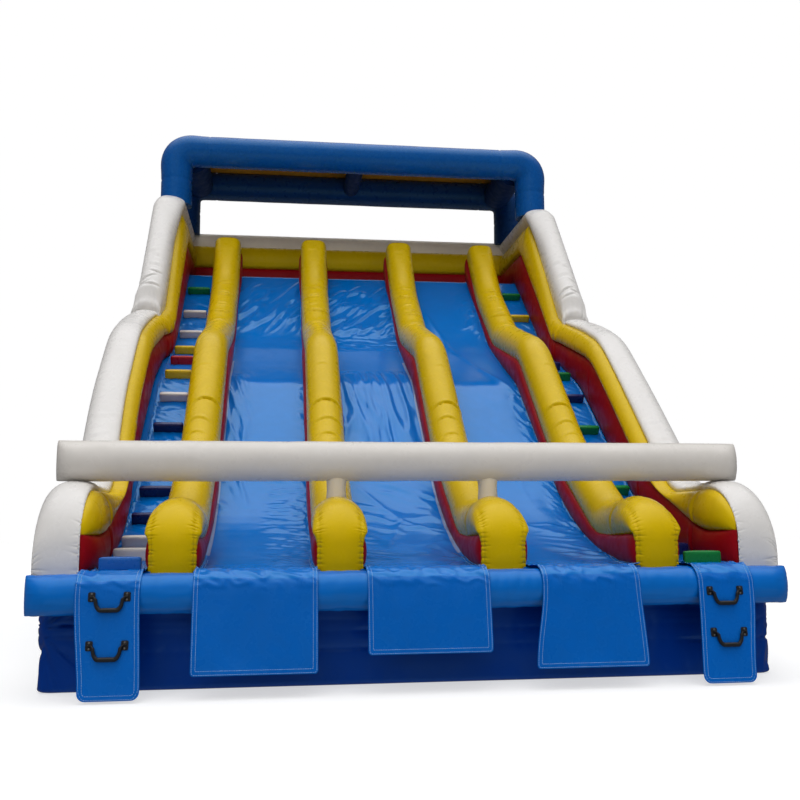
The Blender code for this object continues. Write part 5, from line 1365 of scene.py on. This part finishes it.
def make_cross():
    x, angle, out, thin = tube_rows(CROSS_HALF_LENGTH, CROSS_RADIUS, 0.03, 0.97, 0.024, 1400)
    out = out - 0.003 * (1 + noise(x / 0.25, angle / 0.7, 1410))
    under = angle - math.radians(270)
    for post in DIVIDER_X[1:3]:
        gathers = puckers(np.abs(x - post) + 0 * angle, np.abs(under) * 0.2, 0.05, 0.12, 0.006, 1420, 0.5)
        out = out + bell(under, 0.7) * gathers * bell(x - post, 0.22)
    out = out - 0.0030 * bell(angle - math.radians(200), 0.03)
    grid = points(CROSS_MIDDLE_X + x, CROSS_Y + thin * out * np.cos(angle), CROSS_Z + out * np.sin(angle))
    settle(tube_piece("cross_beam", grid, PAINT["cross"], 70), ["cross_tube"])
    z = np.linspace(NOSE_TOP_Z - 0.03, CROSS_Z - 0.10, 22)[:, None]
    turn = around(32)[None, :]
    for (sign, side), x in zip(SIDES, DIVIDER_X[1:3]):
        radius = POST_RADIUS * (1 - 0.06 * np.sin(math.pi * np.clip((z - POST_ENDS[0]) / 0.16, 0, 1)))
        ends = np.minimum(z - POST_ENDS[0], POST_ENDS[1] - z)
        radius = radius + puckers(turn * POST_RADIUS, np.abs(ends), 0.035, 0.03, 0.004, 1440 + sign)
        grid = points(x + radius * np.cos(turn), CROSS_Y + radius * np.sin(turn), z)
        # The posts take the lighter warm white too: painted light on posts in the cross tube's shade.
        settle(tube_piece(f"post_{side}", grid, PAINT["rear_white_painted_light"], 60), [f"cross_post_{side}"])


def rib_bulge(share):
    return RIB_BULGE * np.sqrt(np.maximum(0.0, np.sin(math.pi * (share % 1.0))))


def rib_edge(share, width):
    """Distance from the nearer seam between two ribs."""
    return np.minimum(share % 1.0, 1 - share % 1.0)[:, None] * width


def make_body():
    """Chambers under the sliding surface: smooth on top, ribbed on the back."""
    x = np.linspace(-BODY_HALF_WIDTH, BODY_HALF_WIDTH, BACK_RIB_COUNT * ROWS_PER_RIB + 1)
    share = (x + BODY_HALF_WIDTH) / (2 * BODY_HALF_WIDTH) * BACK_RIB_COUNT
    back = REAR_Y - RIB_BULGE + rib_bulge(share)[:, None]
    top = np.array([point for point in BED if point[0] < REAR_Y])[::2]
    low = BASE_TOP_Z + GAP
    rise = np.linspace(PLATFORM_Z, low, 60)[None, :]
    edge = rib_edge(share, 0.886)
    crease = puckers(rise + 0 * edge, edge, 0.10, 0.12, 0.012, 1500, 0.4)
    crease = crease + 0.004 * noise(x[:, None] / 0.3, rise / 0.5, 1510)
    x = x[:, None]
    grid = np.concatenate([points(x, top[None, :, 0], top[None, :, 1]),
                           points(x, back + np.minimum(crease, 0), rise), points(x, BODY_FRONT_Y, low)], axis=1)
    return settle(tube_piece("body", grid, PAINT["lane"], 60), ["slide_body"])


def make_ribs(sign, side):
    y = np.linspace(BODY_FRONT_Y, REAR_Y, SIDE_RIB_COUNT * ROWS_PER_RIB + 1)
    share = (y - BODY_FRONT_Y) / (REAR_Y - BODY_FRONT_Y) * SIDE_RIB_COUNT
    outer = SIDE_OUTER_X - RIB_BULGE + rib_bulge(share)[:, None]
    low = BASE_TOP_Z + GAP
    tall = low + (height_at(BED, y)[:, None] - low) * np.linspace(0, 1, 40)[None, :]
    crease = puckers(tall, rib_edge(share, 0.85), 0.10, 0.12, 0.012, 1600 + sign, 0.4)
    crease = np.minimum(crease + 0.004 * noise(y[:, None] / 0.3, tall / 0.5, 1610 + sign), 0)
    skin = points(sign * (outer + crease), y[:, None], tall)
    grid = backed(skin, sign * (BODY_HALF_WIDTH + GAP), y)
    return settle(tube_piece(f"ribs_{side}", grid, PAINT["bumper"], 60), [f"side_ribs_{side}"])


# Arches and roof

def arch_line():
    """Centre line of an arch in its own plane, at even distances."""
    bend = ARCH_CENTRE_Z - ARCH_CORNER_RADIUS
    route = [(-ARCH_HALF_WIDTH, ARCH_FOOT_Z)]
    for angle in np.linspace(math.pi, math.pi / 2, 25):
        route.append((-ARCH_HALF_WIDTH + ARCH_CORNER_RADIUS * (1 + math.cos(angle)),
                      bend + ARCH_CORNER_RADIUS * math.sin(angle)))
    route = np.array(route + [(-x, z) for x, z in reversed(route)])
    along = lengths_of(route)
    marks = np.linspace(0, along[-1], int(along[-1] / 0.03))
    return smoothed(place_at(marks, along, route), 2), marks


def make_arch(name, y, node, paint, seed):
    line, along = arch_line()
    tangent = directions_of(line)
    side = points(tangent[:, 1], -tangent[:, 0])
    angle = around(44)[None, :]
    s = along[:, None]
    total = along[-1]
    distance = np.minimum(np.abs(s - ARCH_CORNER_MARK), np.abs(s - (total - ARCH_CORNER_MARK)))
    inner = np.cos(angle)
    radius = ARCH_RADIUS * (1 + 0.16 * np.clip(-inner, 0, 1) ** 1.5 * bell(distance, 0.24))
    bearing = np.abs(angle - math.pi * (angle > math.pi) * 2) * ARCH_RADIUS
    radius += bell(distance, 0.42) * np.clip(inner, 0, 1) * puckers(s, bearing, 0.075, 0.40, 0.008, seed, 0.0)
    for mark in (0.45, 1.45, total - 1.45, total - 0.45):
        ring = np.abs(s - mark)
        radius -= 0.008 * bell(ring, 0.012)
        radius += puckers(angle * ARCH_RADIUS, ring, 0.06, 0.07, 0.0055, seed + 7)
    radius -= 0.003 * (1 + noise(s / 0.35, angle / 0.8, seed + 9))
    for turn in (math.pi / 2, 3 * math.pi / 2):
        radius -= 0.0035 * bell(angle - turn, 0.030)
    place = line[:, None, :] + side[:, None, :] * (inner * radius)[..., None]
    grid = points(place[..., 0], y + radius * np.sin(angle), place[..., 1])
    return settle(tube_piece(name, grid, PAINT[paint], 60), [node])


def make_roof():
    make_arch("arch_front", FRONT_ARCH_Y, "front_arch", "arch", 1700)
    # The rear arch takes the darkened blue: painted shade under the canopy.
    make_arch("arch_rear", REAR_ARCH_Y, "rear_arch", "arch_painted_shade", 1730)
    turn = around(32)[None, :]
    y = np.linspace(FRONT_ARCH_Y + 0.20, REAR_ARCH_Y - 0.20, 60)[:, None]
    ends = np.minimum(y - FRONT_ARCH_Y - 0.26, REAR_ARCH_Y - 0.26 - y)
    for name, x, radius, drop in (("side_tube_left", -ROOF_SIDE_X, ROOF_SIDE_RADIUS, 0.05),
                                  ("centre_tube", 0.0, ROOF_CENTRE_RADIUS, 0.02),
                                  ("side_tube_right", ROOF_SIDE_X, ROOF_SIDE_RADIUS, 0.05)):
        wide = radius - 0.003 * (1 + noise(y / 0.25, turn / 0.8, 1760))
        wide = wide + puckers(turn * radius, np.abs(ends), 0.05, 0.06, 0.006, 1765)
        grid = points(x + wide * np.cos(turn), y, ARCH_CENTRE_Z - drop + wide * np.sin(turn))
        # The roof tubes take the dark navy: painted shade.
        settle(tube_piece(f"beam_{name}", grid, PAINT["shade"], 60), [f"roof_{name}"])
    bearing = math.radians(67.5)
    reach = ARCH_RADIUS * math.cos(bearing) + 0.0052
    level = ARCH_CENTRE_Z + ARCH_RADIUS * math.sin(bearing)
    y = np.linspace(FRONT_ARCH_Y + reach - 0.004, REAR_ARCH_Y - reach + 0.022, 60)[:, None]
    x = np.linspace(0.006, CANOPY_EDGE_X, 90)[None, :]
    share = (y - y[0]) / (y[-1] - y[0])
    wave = 0.006 * noise(x / 0.30, y / 0.9, 1780) * np.sin(math.pi * share)
    pull = puckers(x, np.minimum(share, 1 - share) * 1.5, 0.10, 0.22, 0.006, 1785)
    z = level - CANOPY_SAG * 4 * share * (1 - share) + wave + pull
    for sign, side in SIDES:
        piece = sheet_piece(f"canopy_panel_{side}", points(sign * x, y, z), SHEET_THICKNESS, PAINT["orange"])
        settle(piece, [f"canopy_{side}"])


# Handles, mooring rings and valve

def plate(name, origin, axes, outline, low, high, paint, bevel=0.0012):
    """Flat plate standing on a flap, its outline given by x and depth offsets."""
    across, down, out = axes
    outline = np.array(outline)
    centre = np.mean(outline, axis=0)
    size = np.abs(outline - centre).max(axis=0)
    work = bmesh.new()
    loops = []
    for level, inset in ((low, 0.0), (high - bevel, 0.0), (high - 0.3 * bevel, bevel * 0.3), (high, bevel)):
        ring = centre + (outline - centre) * (1 - inset / size)
        loops.append([work.verts.new(origin + across * x + down * depth + out * level + SHIFT) for x, depth in ring])
    for first, second in zip(loops, loops[1:]):
        for index in range(len(outline)):
            beside = (index + 1) % len(outline)
            work.faces.new((first[index], first[beside], second[beside], second[index]))
    work.faces.new(loops[-1])
    work.faces.new(list(reversed(loops[0])))
    data = bpy.data.meshes.new(name)
    bmesh.ops.recalc_face_normals(work, faces=work.faces)
    work.to_mesh(data)
    work.free()
    data.shade_smooth()
    data.set_sharp_from_angle(angle=math.radians(35))
    data.materials.append(PAINT[paint])
    return linked(name, data)


def round_outline(width, height, radius):
    return [(sx * (width / 2 - radius) + radius * math.cos(angle),
             sy * (height / 2 - radius) + radius * math.sin(angle))
            for sx, sy, start in ((1, 1, 0), (-1, 1, 90), (-1, -1, 180), (1, -1, 270))
            for angle in np.radians(np.linspace(start, start + 90, 7))]


def merge(name, pieces):
    """Join several meshes into one."""
    work = bmesh.new()
    materials = []
    for piece in pieces:
        found = []
        for material in piece.data.materials:
            if material not in materials:
                materials.append(material)
            found.append(materials.index(material))
        start = len(work.faces)
        work.from_mesh(piece.data)
        work.faces.ensure_lookup_table()
        for face in work.faces[start:]:
            face.material_index = found[face.material_index]
    data = bpy.data.meshes.new(name)
    work.to_mesh(data)
    work.free()
    for material in materials:
        data.materials.append(material)
    for piece in pieces:
        bpy.data.objects.remove(piece)
    return linked(name, data)


def lug_piece(place, axes):
    """Upright ear that holds the pin of a handle."""
    across, down, out = axes
    base = PAD_FACE + 0.003
    ring = [(-0.014, base)]
    for angle in np.linspace(0, math.pi, 13):
        ring.append((-LUG_RADIUS * math.cos(angle), PIN_OUT + LUG_RADIUS * math.sin(angle)))
    ring.append((0.014, base))
    rows = [[place + across * offset + down * (along * inset) + out * (base + (lift - base) * inset)
             for along, lift in ring]
            for inset, offset in ((0.92, -0.0025), (1.0, -0.0018), (1.0, 0.0018), (0.92, 0.0025))]
    return tube_piece("lug", np.array(rows), PAINT["rubber"], 40)


def grip_route():
    """Across, down and radius of a handle's bar, from one pin to the other."""
    half = HANDLE_SPAN / 2
    pin = [(-half - 0.010, 0.0, 0.005), (-half + 0.014, 0.0, 0.005), (-half + 0.020, 0.002, 0.0065)]
    bow = []
    steps = 44
    for step in range(1, steps):
        angle = math.pi * step / steps
        reach = math.copysign(abs(math.cos(angle)) ** 0.75, math.cos(angle))
        drop = 0.010 + (HANDLE_DROP - 0.010) * min(1.0, 1.16 * math.sin(angle) ** 0.8)
        radius = 0.0155 + 0.0055 * math.sin(angle) ** 2
        if 0.30 < step / steps < 0.70:
            radius -= 0.0014 * (0.5 + 0.5 * math.cos(step * math.pi))
        bow.append((-(half - 0.034) * reach, drop, radius))
    return pin + bow + [(-x, drop, radius) for x, drop, radius in reversed(pin)]


def make_handle(side, level, x, height):
    body = f"ladder_flap_{side}"
    origin = Vector((x, *flap_place((FLAP_AXIS[1] - height) / math.cos(FLAP_LEAN))))
    down = Vector((0, -math.sin(FLAP_LEAN), -math.cos(FLAP_LEAN)))
    out = Vector((0, -math.cos(FLAP_LEAN), math.sin(FLAP_LEAN)))
    axes = across, down, out = Vector((1, 0, 0)), down, out
    parts = []
    for sign in (-1, 1):
        end = origin + across * (sign * HANDLE_SPAN / 2)
        parts.append(plate("pad", end, axes, round_outline(0.060, 0.080, 0.012), PAD_FACE, PAD_FACE + 0.006, "rubber"))
        parts.append(plate("rim", end, axes, round_outline(0.050, 0.070, 0.010), PAD_FACE + 0.005,
                           PAD_FACE + 0.0072, "rubber", 0.0008))
        for flank in (-0.024, 0.024):
            parts.append(plate("grommet", end + down * flank, axes, round_outline(0.018, 0.018, 0.0089),
                               PAD_FACE + 0.006, PAD_FACE + 0.0102, "steel", 0.002))
        for flank in (-0.0055, 0.0055):
            parts.append(lug_piece(end + across * flank, axes))
    parts.append(plate("strip", origin, (across, down, -out), round_outline(HANDLE_SPAN + 0.052, 0.032, 0.006),
                       PAD_FACE, PAD_FACE + 0.002, "rubber", 0.0006))
    settle(merge(f"handle_mount_{side}_{level}", parts), [f"handle_base_{side}_{level}"], body)
    route = grip_route()
    pin = origin + out * PIN_OUT
    centres = [pin + across * x + down * drop for x, drop, radius in route]
    rows = []
    for index, (x, drop, radius) in enumerate(route):
        before, after = centres[max(index - 1, 0)], centres[min(index + 1, len(centres) - 1)]
        first = (after - before).normalized().cross(out)
        rows.append([centres[index] + first * (radius * math.cos(a)) + out * (radius * math.sin(a))
                     for a in around(20)])
    grip = tube_piece(f"grip_{side}_{level}", np.array(rows), PAINT["rubber"], 50)
    settle(grip, [f"handle_{side}_{level}"], f"handle_{side}_{level}")


def make_mooring(sign, side):
    """Round patch with a webbing loop on the base, and the ring that swings in it."""
    wall = BASE_HALF_WIDTH + GAP
    bar = BASE_HALF_WIDTH + RING_STANDOFF
    turn = around(48)
    disc = [points(sign * x, RING_Y + radius * np.cos(turn), FITTING_Z + radius * np.sin(turn))
            for x, radius in ((wall, 0.080), (wall + 0.0028, 0.080), (wall + 0.004, 0.0785), (wall + 0.004, 0.070),
                              (wall + 0.0032, 0.068), (wall + 0.004, 0.066), (wall + 0.004, 0.030))]
    disc = tube_piece("disc", np.array(disc), PAINT["deep"], 40)
    angle = np.linspace(0, math.pi, 13)
    outline = np.concatenate([[(wall + 0.002, -0.016), (wall + 0.004, -0.0145)],
                              points(bar + 0.0105 * np.sin(angle), -0.0105 * np.cos(angle)),
                              [(wall + 0.004, 0.0145), (wall + 0.002, 0.016)]])
    loop = [points(sign * outline[:, 0], RING_Y + y, FITTING_Z + outline[:, 1]) for y in (-0.022, -0.021, 0.021, 0.022)]
    loop = tube_piece("loop", np.array(loop), PAINT["deep"], 40)
    settle(merge(f"patch_{side}", [disc, loop]), [f"mooring_patch_{side}"])
    bow = np.linspace(0, math.pi, 37)[:-1]
    line = np.concatenate([points(RING_RADIUS * np.linspace(-1, 1, 13)[:-1], 0.0),
                           points(RING_RADIUS * np.cos(bow), -RING_DROP * np.sin(bow))]) + (RING_Y, FITTING_Z)
    tangent = np.roll(line, -1, axis=0) - np.roll(line, 1, axis=0)
    tangent /= np.linalg.norm(tangent, axis=1, keepdims=True)
    sides = 16
    turn = around(sides)[None, :]
    grid = points(sign * (bar + RING_THICKNESS * np.sin(turn)),
                  line[:, :1] + tangent[:, 1:] * RING_THICKNESS * np.cos(turn),
                  line[:, 1:] - tangent[:, :1] * RING_THICKNESS * np.cos(turn))
    last = (len(line) - 1) * sides
    faces = grid_faces(len(line), sides, True)
    faces += [(last + column, last + (column + 1) % sides, (column + 1) % sides, column) for column in range(sides)]
    ring = new_object(f"ring_{side}", grid, faces, PAINT["steel"])
    settle(ring, [f"mooring_ring_{side}"], f"mooring_ring_{side}")


def lathed(name, profile, grip=0.0):
    """Round rubber piece on the base's side, with twelve finger grips on its rim where given."""
    turn = around(72)
    rows = []
    for x, radius in profile:
        reach = radius + grip * (np.cos(turn * 12) > 0) * (radius > 0.04)
        rows.append(points(x, VALVE_Y + reach * np.cos(turn), FITTING_Z + reach * np.sin(turn)))
    return tube_piece(name, np.array(rows), PAINT["rubber"], 40)


def make_valve():
    wall = BASE_HALF_WIDTH + GAP
    seat = lathed("valve_seat", [(wall, 0.060), (wall + 0.003, 0.060), (wall + 0.005, 0.0585), (wall + 0.006, 0.055),
                                 (wall + 0.006, 0.037), (wall + 0.0155, 0.0355), (wall + 0.016, 0.034)])
    settle(seat, ["valve_body"])
    near = wall + 0.0068
    lid = lathed("valve_lid", [(near, 0.0385), (near, 0.0440), (near + 0.001, 0.0455), (near + 0.013, 0.0455),
                               (near + 0.016, 0.0430), (near + 0.017, 0.0400), (near + 0.017, 0.026),
                               (near + 0.0155, 0.024), (near + 0.0155, 0.004)], 0.003)
    settle(lid, ["valve_cap"], "valve_cap")


def main():
    make_camera()
    make_stage()
    make_light()
    make_base()
    make_bumper()
    make_body()
    for number, x in enumerate(DIVIDER_X, start=1):
        make_divider_top(number, x)
        make_divider_side(number, x)
    for sign, side in SIDES:
        make_ribs(sign, side)
        make_wall_white(sign, side)
        make_wall_lobe("yellow", sign, side)
        make_wall_lobe("red", sign, side)
        make_mooring(sign, side)
        for level, height in zip(("upper", "lower"), HANDLE_HEIGHTS[side]):
            make_handle(side, level, sign * HANDLE_X, height)
    make_rear_lobe("yellow")
    make_rear_lobe("red")
    make_rear_white()
    make_lanes()
    make_stairs()
    make_cross()
    make_roof()
    make_valve()


main()
